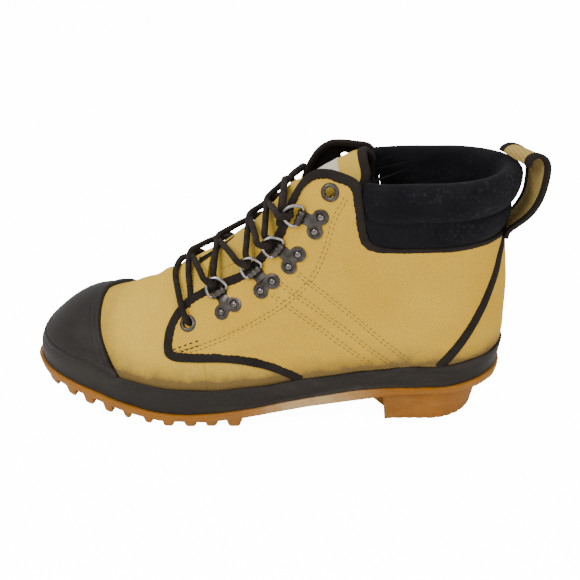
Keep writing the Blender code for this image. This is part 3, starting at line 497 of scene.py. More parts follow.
class Effects:
    """The effects that several finishes share, each a node group built once."""

    @staticmethod
    @lru_cache(maxsize=None)
    def twill() -> bpy.types.NodeTree:
        """Diagonal cords and the yarns across them, on the piece's own laid-out coordinates; Shade is low in the
        grooves between the cords, for painted shade there.
        """
        tree, build, given, made = new_group(
            "twill", {"Pitch": ("Float", 1.2), "Yarn": ("Float", 0.55), "Lean": ("Float", 1.0)},
            {"Height": "Float", "Shade": "Float"},
        )
        where = build.add("ShaderNodeUVMap", uv_map="cloth").outputs[0]
        apart = build.add("ShaderNodeSeparateXYZ")
        build.feed(apart.inputs[0], where)
        waver = build.noise(where, 0.35, 2.0)
        u, v = apart.outputs[0], apart.outputs[1]
        slant = build.plus(build.times(u, given.outputs["Lean"]), v)
        slant = build.plus(slant, build.times(waver, 0.5))
        turn = build.maths("DIVIDE", build.times(slant, 2 * math.pi * 0.7071), given.outputs["Pitch"])
        cord = build.maths("SINE", turn)
        yarn = build.maths("SINE", build.maths("DIVIDE", build.times(v, 2 * math.pi), given.outputs["Yarn"]))
        height = build.plus(build.times(cord, 0.7), build.times(yarn, 0.3))
        fuzz = build.noise(where, 2.2, 2.0, 0.7)
        height = build.plus(height, fuzz)
        build.feed(made.inputs["Height"], build.spread(height, -0.8, 1.8))
        # Shade: low between the cords, where the finishes paint shade into the colour, broken by random fuzz
        build.feed(made.inputs["Shade"], build.spread(build.plus(cord, build.times(fuzz, 1.6)), -0.6, 2.2))
        return tree

    @staticmethod
    @lru_cache(maxsize=None)
    def mottle() -> bpy.types.NodeTree:
        """A base colour broken by large soft patches and small flecks."""
        tree, build, given, made = new_group(
            "mottle",
            {"Base": ("Color", (0.5, 0.5, 0.5)), "Patch": ("Color", (0.4, 0.4, 0.4)), "Size": ("Float", 25.0),
             "Amount": ("Float", 0.6), "Fleck": ("Float", 0.15)},
            {"Colour": "Color", "Mask": "Float"},
        )
        where = build.spots()
        broad = build.spread(build.noise(where, given.outputs["Size"], 4.0, 0.6), 0.36, 0.68)
        fine = build.spread(build.noise(where, 900.0, 2.0, 0.6), 0.3, 0.75)
        mask = build.times(broad, given.outputs["Amount"], clamp=True)
        colour = build.mix(mask, given.outputs["Base"], given.outputs["Patch"])
        dark = build.mix(1.0, colour, (0.62, 0.6, 0.56), "MULTIPLY")
        build.feed(made.inputs["Colour"], build.mix(build.times(fine, given.outputs["Fleck"]), colour, dark))
        build.feed(made.inputs["Mask"], broad)
        return tree

    @staticmethod
    @lru_cache(maxsize=None)
    def grime() -> bpy.types.NodeTree:
        """Dried mud that lies where the piece's soil attribute is high."""
        tree, build, given, made = new_group(
            "grime",
            {"Colour": ("Color", (0.5, 0.5, 0.5)), "Mud": ("Color", (0.16, 0.12, 0.07)), "Reach": ("Float", 1.0),
             "Size": ("Float", 90.0)},
            {"Colour": "Color", "Mask": "Float"},
        )
        where = build.spots()
        soil = build.add("ShaderNodeAttribute", attribute_name="soil").outputs["Fac"]
        patchy = build.noise(where, given.outputs["Size"], 6.0, 0.65)
        reach = build.times(soil, given.outputs["Reach"])
        mask = build.spread(build.times(reach, build.plus(patchy, 0.25)), 0.18, 0.75)
        build.feed(made.inputs["Colour"], build.mix(mask, given.outputs["Colour"], given.outputs["Mud"]))
        build.feed(made.inputs["Mask"], mask)
        return tree

    @staticmethod
    @lru_cache(maxsize=None)
    def grain() -> bpy.types.NodeTree:
        """Fine pitting with rubbed, dusty patches, for rubber and nap."""
        tree, build, given, made = new_group(
            "grain", {"Size": ("Float", 600.0), "Rub": ("Float", 30.0)}, {"Height": "Float", "Rubbed": "Float"},
        )
        where = build.spots()
        pits = build.noise(where, given.outputs["Size"], 3.0, 0.6)
        drawn = build.stretched(where, (1.0, 1.0, 4.0))
        rub = build.spread(build.noise(drawn, given.outputs["Rub"], 5.0, 0.7), 0.47, 0.72)
        build.feed(made.inputs["Height"], pits)
        build.feed(made.inputs["Rubbed"], rub)
        return tree


@dataclass(frozen=True)
class Finish:
    """What every finish has: a name and the shader's plain values."""

    name: str
    roughness: float = 0.85
    specular: float = 0.5
    sheen: float = 0.0
    metallic: float = 0.0
    base: Colour = (0.5, 0.5, 0.5)

    def material(self) -> bpy.types.Material:
        """Build the material, once for each finish."""
        found = bpy.data.materials.get(f"look_{self.name}")
        if found:
            return found
        made = bpy.data.materials.new(f"look_{self.name}")
        made.use_nodes = True
        shader = made.node_tree.nodes["Principled BSDF"]
        for name, value in (
            ("Roughness", self.roughness), ("Specular IOR Level", self.specular), ("Sheen Weight", self.sheen),
            ("Sheen Roughness", 0.5), ("Metallic", self.metallic),
        ):
            shader.inputs[name].default_value = value
        self.dress(Nodes(made.node_tree), shader)
        return made

    def dress(self, build: Nodes, shader: bpy.types.Node) -> None:
        """Feed the shader; each kind of finish does it its own way."""

    def patches(self, build: Nodes, patch: Colour, size: float, amount: float, fleck: float) -> bpy.types.Node:
        """The base colour, broken by patches of another."""
        return build.group(Effects.mottle(), Base=self.base, Patch=patch, Size=size, Amount=amount, Fleck=fleck)

    def bump(self, build: Nodes, shader: bpy.types.Node, height: object, depth: float) -> None:
        """Feed the shader's normal from a height, depth millimetres deep."""
        node = build.add("ShaderNodeBump")
        node.inputs["Strength"].default_value = 1.0
        node.inputs["Distance"].default_value = depth * MM
        build.feed(node.inputs["Height"], height)
        build.feed(shader.inputs["Normal"], node.outputs[0])


@dataclass(frozen=True)
class Cloth(Finish):
    """Woven cloth with diagonal cords, painted shade between the cords, faded patches and mud."""

    base: Colour = (0.62, 0.37, 0.03)
    worn: Colour = (0.68, 0.43, 0.05)
    # dark: the colour painted into the weave's grooves, as painted shade
    dark: Colour = (0.34, 0.18, 0.008)
    mud: Colour = (0.16, 0.1, 0.03)
    pitch: float = 1.5
    yarn: float = 0.8
    depth: float = 0.3
    contrast: float = 0.6

    def dress(self, build: Nodes, shader: bpy.types.Node) -> None:
        """Weave with painted shade in its grooves, patches and mud."""
        weave = build.group(Effects.twill(), Pitch=self.pitch, Yarn=self.yarn)
        mottle = self.patches(build, self.worn, 22.0, 0.8, 0.3)
        # The weave's grooves are painted towards the dark colour: painted shade between the cords, with random fuzz
        share = build.times(build.maths("SUBTRACT", 1.0, weave.outputs["Shade"]), self.contrast)
        colour = build.mix(share, mottle.outputs["Colour"], self.dark)
        mud = build.group(Effects.grime(), Colour=colour, Mud=self.mud, Reach=1.0)
        build.feed(shader.inputs["Base Color"], mud.outputs["Colour"])
        self.bump(build, shader, weave.outputs["Height"], self.depth)


@dataclass(frozen=True)
class Rubber(Finish):
    """Moulded or calendered rubber with rubbed, dusty places."""

    base: Colour = (0.014, 0.0105, 0.008)
    patch: Colour = (0.011, 0.0085, 0.007)
    dust: Colour = (0.05, 0.042, 0.034)
    dusting: float = 0.35
    pits: float = 700.0
    depth: float = 0.05

    def dress(self, build: Nodes, shader: bpy.types.Node) -> None:
        """Patches, dust and pits."""
        mottle = self.patches(build, self.patch, 40.0, 0.7, 0.25)
        grain = build.group(Effects.grain(), Size=self.pits, Rub=28.0)
        share = build.times(grain.outputs["Rubbed"], self.dusting)
        dusty = build.mix(share, mottle.outputs["Colour"], self.dust)
        mud = build.group(Effects.grime(), Colour=dusty, Mud=self.dust, Reach=1.0, Size=160.0)
        build.feed(shader.inputs["Base Color"], mud.outputs["Colour"])
        rough = build.maths("MULTIPLY_ADD", grain.outputs["Rubbed"], 0.18, self.roughness - 0.06)
        build.feed(shader.inputs["Roughness"], rough)
        self.bump(build, shader, grain.outputs["Height"], self.depth)


@dataclass(frozen=True)
class Nap(Finish):
    """Brushed cloth with pale, worn places."""

    base: Colour = (0.0035, 0.003, 0.0045)
    worn: Colour = (0.013, 0.0125, 0.0145)
    wearing: float = 0.5
    depth: float = 0.12

    def dress(self, build: Nodes, shader: bpy.types.Node) -> None:
        """Fibres and wear."""
        grain = build.group(Effects.grain(), Size=1500.0, Rub=16.0)
        where = build.spots()
        lint = build.spread(build.noise(where, 420.0, 4.0, 0.75), 0.5, 0.72)
        worn = build.times(build.times(grain.outputs["Rubbed"], lint), self.wearing)
        soft = build.mix(build.spread(build.noise(where, 60.0, 3.0), 0.35, 0.7, 0.0, 0.35), self.base, self.worn)
        build.feed(shader.inputs["Base Color"], build.mix(worn, soft, (0.06, 0.058, 0.062)))
        self.bump(build, shader, build.plus(grain.outputs["Height"], lint), self.depth)


@dataclass(frozen=True)
class Webbing(Finish):
    """A close band of yarns across its length, such as binding, tape or a pull loop."""

    base: Colour = (0.013, 0.0095, 0.0075)
    worn: Colour = (0.024, 0.018, 0.0145)
    pitch: float = 1.0
    depth: float = 0.2

    def dress(self, build: Nodes, shader: bpy.types.Node) -> None:
        """Ribs with painted shade between them, and wear."""
        weave = build.group(Effects.twill(), Pitch=self.pitch, Yarn=self.pitch * 0.6, Lean=0.25)
        mottle = self.patches(build, self.worn, 60.0, 0.8, 0.3)
        # Low places between the ribs are darkened: painted shade
        share = build.times(build.maths("SUBTRACT", 1.0, weave.outputs["Shade"]), 0.6)
        shade = build.mix(1.0, mottle.outputs["Colour"], (0.45, 0.45, 0.45), "MULTIPLY")
        build.feed(shader.inputs["Base Color"], build.mix(share, mottle.outputs["Colour"], shade))
        self.bump(build, shader, weave.outputs["Height"], self.depth)


@dataclass(frozen=True)
class Braid(Finish):
    """A round braided cord: two sets of slanting yarns on the cord's own coordinates."""

    base: Colour = (0.012, 0.0075, 0.005)
    worn: Colour = (0.03, 0.02, 0.013)
    pitch: float = 1.5
    depth: float = 0.35

    def dress(self, build: Nodes, shader: bpy.types.Node) -> None:
        """Crossing yarns with painted shade in the hollows between them, and wear."""
        first = build.group(Effects.twill(), Pitch=self.pitch, Yarn=9.0, Lean=0.8)
        second = build.group(Effects.twill(), Pitch=self.pitch, Yarn=9.0, Lean=-0.8)
        high = build.maths("MAXIMUM", first.outputs["Height"], second.outputs["Height"])
        mottle = self.patches(build, self.worn, 80.0, 0.8, 0.4)
        # The hollows between the yarns are darkened: painted shade
        hollow_shade = build.mix(1.0, mottle.outputs["Colour"], (0.35, 0.33, 0.32), "MULTIPLY")
        depth = build.spread(high, 0.45, 0.85, 1.0, 0.0)
        build.feed(shader.inputs["Base Color"], build.mix(depth, mottle.outputs["Colour"], hollow_shade))
        self.bump(build, shader, high, self.depth)


@dataclass(frozen=True)
class Metal(Finish):
    """Plated steel with rubbed and tarnished places."""

    base: Colour = (0.105, 0.092, 0.083)
    tarnish: Colour = (0.035, 0.03, 0.026)
    metallic: float = 1.0
    depth: float = 0.03

    def dress(self, build: Nodes, shader: bpy.types.Node) -> None:
        """Tarnish and fine scratches."""
        mottle = self.patches(build, self.tarnish, 260.0, 0.85, 0.4)
        build.feed(shader.inputs["Base Color"], mottle.outputs["Colour"])
        rough = build.maths("MULTIPLY_ADD", mottle.outputs["Mask"], 0.22, self.roughness)
        build.feed(shader.inputs["Roughness"], rough)
        where = build.spots()
        self.bump(build, shader, build.noise(where, 1800.0, 2.0), self.depth)


@dataclass(frozen=True)
class Thread(Finish):
    """Waxed sewing thread."""

    base: Colour = (0.2, 0.13, 0.012)

    def dress(self, build: Nodes, shader: bpy.types.Node) -> None:
        """Soft flecks."""
        mottle = self.patches(build, tuple(c * 0.7 for c in self.base), 300.0, 0.6, 0.4)
        build.feed(shader.inputs["Base Color"], mottle.outputs["Colour"])
        where = build.spots()
        self.bump(build, shader, build.noise(where, 2500.0, 2.0), 0.1)


class Finishes:
    """Every finish of the boot."""

    CANVAS = Cloth("canvas", specular=0.15)
    VAMP = Cloth("vamp_canvas", specular=0.15, base=(0.66, 0.42, 0.045), worn=(0.72, 0.48, 0.07), contrast=0.5)
    TONGUE = Cloth("tongue_canvas", specular=0.15, base=(0.58, 0.38, 0.05), worn=(0.62, 0.43, 0.07), contrast=0.6)
    LINING = Cloth(
        "lining", specular=0.1, base=(0.006, 0.0055, 0.006), worn=(0.01, 0.009, 0.01), dark=(0.003, 0.003, 0.003),
        mud=(0.01, 0.009, 0.008),
    )
    LABEL = Cloth(
        "bare_label", specular=0.2, base=(0.6, 0.56, 0.44), worn=(0.5, 0.45, 0.34), dark=(0.32, 0.28, 0.2), pitch=0.8,
        contrast=0.3,
    )
    FOXING = Rubber("foxing_rubber", roughness=0.62, specular=0.2)
    CAP = Rubber("cap_rubber", roughness=0.6, specular=0.2, base=(0.0125, 0.01, 0.0088), dusting=0.25)
    GUM = Rubber(
        "gum_rubber", roughness=0.55, specular=0.2, base=(0.29, 0.108, 0.008), patch=(0.2, 0.07, 0.005),
        dust=(0.42, 0.27, 0.12), dusting=0.16, pits=500.0,
    )
    COLLAR = Nap("collar_nap", roughness=0.95, sheen=0.02, specular=0.1)
    BINDING = Webbing("binding", roughness=0.85, specular=0.15)
    LOOP = Webbing("loop_webbing", specular=0.15, base=(0.4, 0.27, 0.07), worn=(0.45, 0.32, 0.1), pitch=1.4)
    LACE = Braid("lace_braid", roughness=0.8, specular=0.2)
    GUNMETAL = Metal("gunmetal", roughness=0.32)
    STEEL = Metal("bright_steel", roughness=0.2, base=(0.4, 0.38, 0.36), tarnish=(0.16, 0.14, 0.12))
    RIVET = Metal("rivet_steel", roughness=0.16, base=(0.22, 0.2, 0.185), tarnish=(0.05, 0.043, 0.038))
    SEAM = Thread("olive_thread", roughness=0.7)
    TACK = Thread("dark_thread", roughness=0.7, base=(0.012, 0.008, 0.004))


# ---------------------------------------------------------------- making meshes


def linked(name: str, data: bpy.types.ID) -> bpy.types.Object:
    """A new object in the scene."""
    made = bpy.data.objects.new(name, data)
    bpy.context.scene.collection.objects.link(made)
    return made


class Workshop:
    """Turns shaped meshes into pieces of the boot."""

    MIDDLE = np.array([120.0, 0.0, 60.0])  # the middle of the foot
    BEHIND, AHEAD = 0.08, 0.13  # metres that it stretches to each side of that

    def __init__(self, last: Last) -> None:
        """Keep the last."""
        self.last = last

    def grid(
        self, columns: int, rows: int, place: Place, flat: Optional[Place] = None, join: bool = False,
    ) -> bmesh.types.BMesh:
        """A grid whose points are moved to their places.

        Args:
            columns: Faces across.
            rows: Faces along.
            place: Gives points in the boot's millimetres for arrays u, across, and v, along, from 0 to 1.
            flat: Gives the cloth's laid-out coordinates; without it they follow the grid's lengths.
            join: Merges edges that meet and turns the closed shape's faces outwards.

        Returns:
            The mesh in metres, with its cloth coordinates in millimetres.
        """
        work = bmesh.new()
        bmesh.ops.create_grid(work, x_segments=columns, y_segments=rows, size=0.5)
        spots = np.array([vert.co[:2] for vert in work.verts]) + 0.5
        order = np.lexsort((spots[:, 0].round(6), spots[:, 1].round(6)))
        u, v = (spots[order, k].reshape(rows + 1, columns + 1) for k in (0, 1))
        points = place(u, v)
        if flat is None:
            across = np.linalg.norm(np.diff(points, axis=1), axis=2).mean(axis=0).cumsum()
            along = np.linalg.norm(np.diff(points, axis=0), axis=2).mean(axis=1).cumsum()
            laid = np.stack(np.meshgrid(np.append(0, across), np.append(0, along)), axis=-1)
        else:
            laid = flat(u, v)
        world = np.empty((len(order), 3))
        world[order] = self.last.to_world(points).reshape(-1, 3)
        sheet = np.empty((len(order), 2))
        sheet[order] = laid.reshape(-1, 2)
        layer = work.loops.layers.uv.new("cloth")
        for vert, spot in zip(work.verts, world):
            vert.co = spot
        for face in work.faces:
            for loop in face.loops:
                loop[layer].uv = sheet[loop.vert.index]
        if join:
            weld(work)
            bmesh.ops.dissolve_degenerate(work, edges=work.edges, dist=SLIVER)
            bmesh.ops.recalc_face_normals(work, faces=work.faces)
            if work.calc_volume(signed=True) < 0:
                bmesh.ops.reverse_faces(work, faces=work.faces)
        else:
            self.turn_out(work)
        return work

    def turn_out(self, work: bmesh.types.BMesh) -> None:
        """Turn an open sheet's faces away from the middle of the foot."""
        work.normal_update()
        middle = self.last.to_world(self.MIDDLE)
        facing = 0.0
        for face in work.faces:
            centre = face.calc_center_median()
            near = min(max(centre.x, middle[0] - self.BEHIND), middle[0] + self.AHEAD)
            inner = Vector((near, middle[1], middle[2]))
            facing += face.normal.dot(centre - inner) * face.calc_area()
        if facing < 0:
            bmesh.ops.reverse_faces(work, faces=work.faces)

    def close_ends(self, work: bmesh.types.BMesh) -> None:
        """Fill the open ends of a tube and turn its faces outwards."""
        edges = [edge for edge in work.edges if edge.is_boundary]
        bmesh.ops.holes_fill(work, edges=edges, sides=0)
        bmesh.ops.recalc_face_normals(work, faces=work.faces)

    def cord(self, line: Array, radius: float, sides: int = 14) -> bmesh.types.BMesh:
        """A round cord with rounded ends along points.

        Args:
            line: Points in the boot's millimetres.
            radius: The cord's radius.
            sides: Faces round it.

        Returns:
            The closed mesh.
        """
        tangent = unit(np.gradient(line, axis=0))
        across = np.empty_like(line)
        across[0] = np.cross(tangent[0], (0.31, 0.2, 0.93))
        for k in range(1, len(line)):
            across[k] = across[k - 1] - across[k - 1] @ tangent[k] * tangent[k]
            across[k] /= np.linalg.norm(across[k])
        across[0] /= np.linalg.norm(across[0])
        beside = np.cross(tangent, across)
        caps = np.array([0.0, 0.5, 0.85])  # sizes of the rings that round off an end
        count, extra = len(line), len(caps)
        last_row = count + 2 * extra - 1

        def place(u: Array, v: Array) -> Array:
            """Rings round the line, which close at both ends."""
            row = np.clip(np.round(v * last_row).astype(int) - extra, -extra, count + extra - 1)
            over = np.where(row < 0, -row, np.where(row >= count, row - count + 1, 0))
            size = radius * np.where(over > 0, caps[::-1][np.clip(over - 1, 0, extra - 1)], 1.0)
            push = radius * np.where(over > 0, np.sqrt(1 - (size / radius) ** 2), 0) * np.where(row < 0, -1, 1)
            at = np.clip(row, 0, count - 1)
            angle = 2 * np.pi * u
            return (
                line[at] + push[..., None] * tangent[at]
                + (size * np.cos(angle))[..., None] * across[at] + (size * np.sin(angle))[..., None] * beside[at]
            )

        return self.grid(sides, last_row, place, join=True)

    def sweep(self, line: Array, up: Array, out: Array, section: Array, widths: Array = 1.0) -> bmesh.types.BMesh:
        """A closed band with one cross-section along a line.

        Args:
            line: Points in the boot's millimetres.
            up: Unit vectors out of the surface at those points.
            out: Unit vectors across the band.
            section: The closed cross-section's points, across and up.
            widths: Size of the section across, at each point.

        Returns:
            The closed mesh.
        """
        ring = np.vstack([section, section[:1]])
        widths = np.broadcast_to(widths, len(line))

        def place(u: Array, v: Array) -> Array:
            """The section at each point of the line."""
            row = np.round(v * (len(line) - 1)).astype(int)
            col = np.round(u * (len(ring) - 1)).astype(int)
            aside = ring[col, 0] * widths[row]
            return line[row] + aside[..., None] * out[row] + ring[col, 1][..., None] * up[row]

        work = self.grid(len(ring) - 1, len(line) - 1, place)
        weld(work)
        self.close_ends(work)
        return work

    def spun(self, profile: Sequence[Sequence[float]], steps: int) -> bmesh.types.BMesh:
        """A turned shape from radius and height in millimetres, round Z, still at the origin."""
        work = bmesh.new()
        verts = [work.verts.new((r * MM, 0, h * MM)) for r, h in profile]
        edges = [work.edges.new(pair) for pair in zip(verts, verts[1:])]
        bmesh.ops.spin(
            work, geom=verts + edges, cent=(0, 0, 0), axis=(0, 0, 1), angle=2 * math.pi, steps=steps, use_merge=True,
        )
        weld(work)
        bmesh.ops.recalc_face_normals(work, faces=work.faces)
        return work

    def piece(
        self, name: str, work: bmesh.types.BMesh, finishes: Sequence[Finish], slot: str, nodes: Iterable[str] = (),
        wall: float = 0.0, sharp: float = 40.0, soil: Optional[Callable[[Array], Array]] = None, even: bool = True,
    ) -> bpy.types.Object:
        """Make a shaped mesh a piece of the boot.

        Args:
            name: The piece's name.
            work: The shaped mesh, which is used up.
            finishes: The finish of the outside, and that of the inside where it has a wall.
            slot: The record's material slot. Not used.
            nodes: CAD nodes that the piece stands for.
            wall: Thickness given inwards, in millimetres.
            sharp: Angle in degrees over which an edge stays sharp.
            soil: Gives each vertex's share of mud from its place in the boot's millimetres.
            even: Whether the wall keeps its thickness round sharp turns.

        Returns:
            The piece.
        """
        mesh = bpy.data.meshes.new(name)
        work.to_mesh(mesh)
        work.free()
        mesh.shade_smooth()
        mesh.set_sharp_from_angle(angle=math.radians(sharp))
        if soil:
            spots = np.empty(len(mesh.vertices) * 3)
            mesh.vertices.foreach_get("co", spots)
            spots = spots.reshape(-1, 3) / MM + self.last.shift
            mesh.attributes.new("soil", "FLOAT", "POINT").data.foreach_set("value", soil(spots).astype(np.float32))
        made = linked(name, mesh)
        for finish in finishes:
            mesh.materials.append(finish.material())
        if wall:
            thick = made.modifiers.new("wall", "SOLIDIFY")
            thick.thickness = wall * MM
            thick.offset = -1
            thick.use_even_offset = even
            thick.thickness_clamp = 1.0
            thick.material_offset = len(finishes) - 1
            thick.use_rim = True
        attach(made, BODY)
        for node in nodes:
            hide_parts(node)
        log.info("%s: %d faces", name, len(mesh.polygons))
        return made


def joined(parts: Sequence[bmesh.types.BMesh]) -> bmesh.types.BMesh:
    """Several shaped meshes as one, which uses them up."""
    whole = bmesh.new()
    for part in parts:
        mesh = bpy.data.meshes.new("part")
        part.to_mesh(mesh)
        part.free()
        whole.from_mesh(mesh)
        bpy.data.meshes.remove(mesh)
    return whole


# A closed, rounded cross-section of a binding that wraps an edge: out of the edge, and up.
BINDING_SECTION = np.array([
    (-5.0, -0.2), (-4.9, 0.35), (-4.3, 0.62), (-3.0, 0.7), (-1.2, 0.8), (0.0, 0.75), (0.9, 0.2), (1.2, -0.9),
    (0.9, -2.0), (0.0, -2.6), (-2.5, -2.7), (-2.9, -2.2), (-1.5, -1.6), (-2.5, -0.9),
])
# A flat tape sewn on along both edges.
TAPE_SECTION = np.array([
    (-3.0, -0.3), (-2.95, 0.3), (-2.5, 0.62), (-1.6, 0.55), (-0.8, 0.85), (0.0, 0.95), (0.8, 0.85), (1.6, 0.55),
    (2.5, 0.62), (2.95, 0.3), (3.0, -0.3),
])


# ---------------------------------------------------------------- the upper


@dataclass
class Seams:
    """Lines on the quarters, as flat places along the rib line and up."""

    TRIPLE = (((45.0, 40.0), (84.0, 78.0), (117.0, 106.5)), ((58.0, 40.0), (95.0, 74.0), (126.0, 98.0)),
              ((69.0, 40.0), (103.0, 69.0), (131.5, 91.0)))
    EYESTAY = ((84.5, 152.0), (91.5, 140.0), (97.5, 122.0), (107.5, 102.0), (122.0, 88.0), (141.0, 75.0),
               (162.0, 64.0), (183.0, 56.0), (199.0, 52.0))
    BACK_TACK = (((182.0, 57.5), (201.0, 51.0)), ((182.0, 60.5), (200.5, 54.0)))
    TAPE = ((-15.0, 122.0), (-3.0, 102.0), (10.0, 78.0), (22.0, 58.0), (33.0, 42.0))
    DOUBLE = 2.3  # between the two rows of a double seam
    PITCH = 3.3
    LENGTH = 2.5

    def paths(self) -> list[Array]:
        """Both rows of each double seam."""
        rows = []
        for seam in (*self.TRIPLE, self.EYESTAY):
            line = smooth_path(seam, 1.0)
            run = unit(np.gradient(line, axis=0))
            aside = np.stack([-run[:, 1], run[:, 0]], axis=1) * self.DOUBLE / 2
            rows += [line + aside, line - aside]
        return rows


@dataclass
class Part:
    """What every part of the boot has: the workshop that makes its pieces."""

    shop: Workshop

    @property
    def last(self) -> Last:
        """The form that the part follows."""
        return self.shop.last


@dataclass
class Quarter(Part):
    """One side of the upper: a canvas panel from the heel to its rounded front corner."""

    side: Side
    lift: float = 0.9
    wall: float = 1.9
    columns: int = 300
    rows: int = 84
    front: float = 203.0
    hole: float = 3.1  # radius of the holes at the eyelets

    TOP_END = 179.4  # where the top edge turns into the nose
    FOOT = 119.0  # ahead of this place the panel's low edge lies free
    LAST_SHARE = 0.07  # share of the columns that crowd towards the front edge

    EDGE = np.array([
        (35.0, 122.5), (55.0, 122.2), (62.0, 122.7), (68.0, 124.0), (71.5, 126.4), (73.1, 130.0),
        (73.8, 135.0), (74.3, 143.0), (74.8, 151.0), (75.4, 156.5), (76.8, 160.4), (79.5, 162.9),
        (83.0, 164.1), (88.0, 165.2), (93.0, 166.2), (98.0, 166.4), (102.2, 165.6), (106.1, 163.4),
        (110.3, 159.6), (114.0, 154.4), (118.0, 147.3), (121.8, 139.0), (127.0, 129.0), (134.5, 119.0),
        (149.0, 103.3), (163.7, 95.3), (179.4, 87.4),
    ])
    NOSE = ((179.4, 87.4), (190.5, 80.7), (197.3, 74.0), (201.8, 65.5), (203.0, 57.0))
    CHIN = (
        (203.0, 57.0), (202.0, 52.0), (198.0, 49.4), (184.0, 48.5), (166.0, 48.5), (149.0, 46.5), (133.0, 41.5),
        (119.0, 33.5),
    )
    CREASES = (
        ((150.0, 66.0), (176.0, 60.0), 5.0, -0.7), ((138.0, 60.0), (165.0, 54.0), 4.0, 0.6),
        ((88.0, 104.0), (104.0, 88.0), 6.0, -0.8), ((70.0, 110.0), (92.0, 98.0), 7.0, 0.7),
        ((30.0, 92.0), (58.0, 84.0), 8.0, -0.8), ((26.0, 72.0), (52.0, 62.0), 6.0, 0.6),
        ((104.0, 66.0), (132.0, 54.0), 6.0, -0.6), ((60.0, 64.0), (78.0, 50.0), 5.0, 0.5),
        ((10.0, 106.0), (34.0, 112.0), 6.0, 0.7), ((-6.0, 84.0), (8.0, 60.0), 6.0, -0.6),
        ((142.0, 82.0), (150.0, 70.0), 4.0, -0.5), ((120.0, 100.0), (128.0, 84.0), 4.0, 0.5),
    )

    def top_edge(self) -> Array:
        """The panel's top edge from the heel's middle to the front, at even steps."""
        at = np.arange(self.last.BACK, self.TOP_END, 0.1)
        edge = np.stack([at, through(*self.EDGE.T, np.clip(at, 35.0, None), snug=True)], axis=1)
        return even_path(np.vstack([edge, smooth_path(self.NOSE, 0.1)]), 0.2)

    def low_edge(self) -> Array:
        """The edge from the front corner back to the foxing."""
        return smooth_path(self.CHIN, 0.2)

    def outline(self) -> Array:
        """The free edge: along the top, round the front and back to the foxing."""
        return np.vstack([self.top_edge(), self.low_edge()[1:]])

    def places(self, u: Array, v: Array) -> Array:
        """Flat places of the panel's grid."""
        top, last = self.top_edge(), self.last
        run = np.linspace(0, 1, len(top))
        crowd, start = self.LAST_SHARE, 1 - self.LAST_SHARE
        bend = np.sin(np.clip((u - start) / crowd, 0, 1) * np.pi / 2) * crowd + np.minimum(u, start)
        x_top, z_top = (np.interp(bend, run, top[:, k]) for k in (0, 1))
        knots = np.array([last.BACK, 50.0, 122.0, self.front])
        x_low = np.interp(bend, np.interp(knots, top[:, 0], run), knots)
        low = self.low_edge()[::-1]
        z_low = np.where(
            x_low < self.FOOT, last.foxing_top(x_low) - 3.5,
            np.interp(x_low, np.maximum.accumulate(low[:, 0]), low[:, 1]),
        )
        return np.stack([x_low + (x_top - x_low) * v, z_low + (z_top - z_low) * v], axis=-1)

    def relief(self, x: Array, z: Array) -> Array:
        """Height of seams, layers and creases over the smooth panel."""
        height = np.zeros_like(x)
        for path in Seams().paths():
            height -= 0.4 * bell(distance_to(path[::4], x, z), 0, 0.9)
        stay = smooth_path(Seams.EYESTAY, 2.0)
        throat = self.outline()[::10]
        behind = distance_to(stay, x, z) - distance_to(throat[throat[:, 0] > 84], x, z)
        height += 0.55 * ease((behind + 24) / 10 - 1.0)
        for seam in (Seams.TRIPLE[0], Seams.TRIPLE[2]):
            height += 0.2 * bell(distance_to(np.array(seam), x, z), 0, 5.0)
        for start, end, width, high in self.CREASES:
            middle = ((start[0] + end[0]) / 2 + width / 3, (start[1] + end[1]) / 2 + width / 4)
            path = smooth_path((start, middle, end), 3.0)
            height += high * bell(distance_to(path, x, z), 0, width)
        height += 0.16 * np.sin(x / 7.3 + z / 9.1 + self.side.value) * np.sin(z / 6.1 - x / 12.7)
        return height + 0.1 * np.sin(x / 2.9 + 1.3 * np.sin(z / 5.0))

    def surface(self, x: Array, z: Array, over: Array = 0.0) -> Array:
        """Points of the panel's outer face at flat places, raised by over."""
        return self.last.spot(self.side.value, x, z, self.lift + self.relief(x, z) + over)

    def make(self) -> bpy.types.Object:
        """The panel, with holes at the eyelets."""
        work = self.shop.grid(
            self.columns, self.rows, lambda u, v: self.surface(*np.moveaxis(self.places(u, v), -1, 0)),
            flat=self.places,
        )
        holes = []
        for place in EYELETS:
            centre = Vector(self.last.to_world(self.surface(*np.array(place))))
            holes += [face for face in work.faces if (face.calc_center_median() - centre).length < self.hole * MM]
        bmesh.ops.delete(work, geom=holes, context="FACES")
        weld(work, 1e-6)
        bmesh.ops.dissolve_degenerate(work, edges=work.edges, dist=SLIVER)
        last = self.last

        def soil(spots: Array) -> Array:
            """Mud above the foxing: a dense narrow band and a thinner broad one, both fading upwards."""
            rise = spots[:, 2] - last.foxing_top(np.clip(spots[:, 0], last.BACK, 300))
            return fade(rise, 5.0) + 0.45 * fade(rise, 22.0)

        nodes = ["upper"] if self.side is Side.OUTER else []
        return self.shop.piece(
            f"quarter_{self.side.word}", work, (Finishes.CANVAS, Finishes.LINING), "canvas", nodes,
            wall=self.wall, soil=soil,
        )

    def frames(self, path: Array, over: float) -> tuple[Array, Array, Array]:
        """A flat path on the panel: its points, the panel's normals and the ways across to its left."""
        line = self.surface(path[:, 0], path[:, 1], over)
        up = self.last.facing(self.side.value, path[:, 0], path[:, 1])
        run = np.gradient(line, axis=0)
        out = self.side.value * np.cross(run, up)
        return line, up, unit(out)

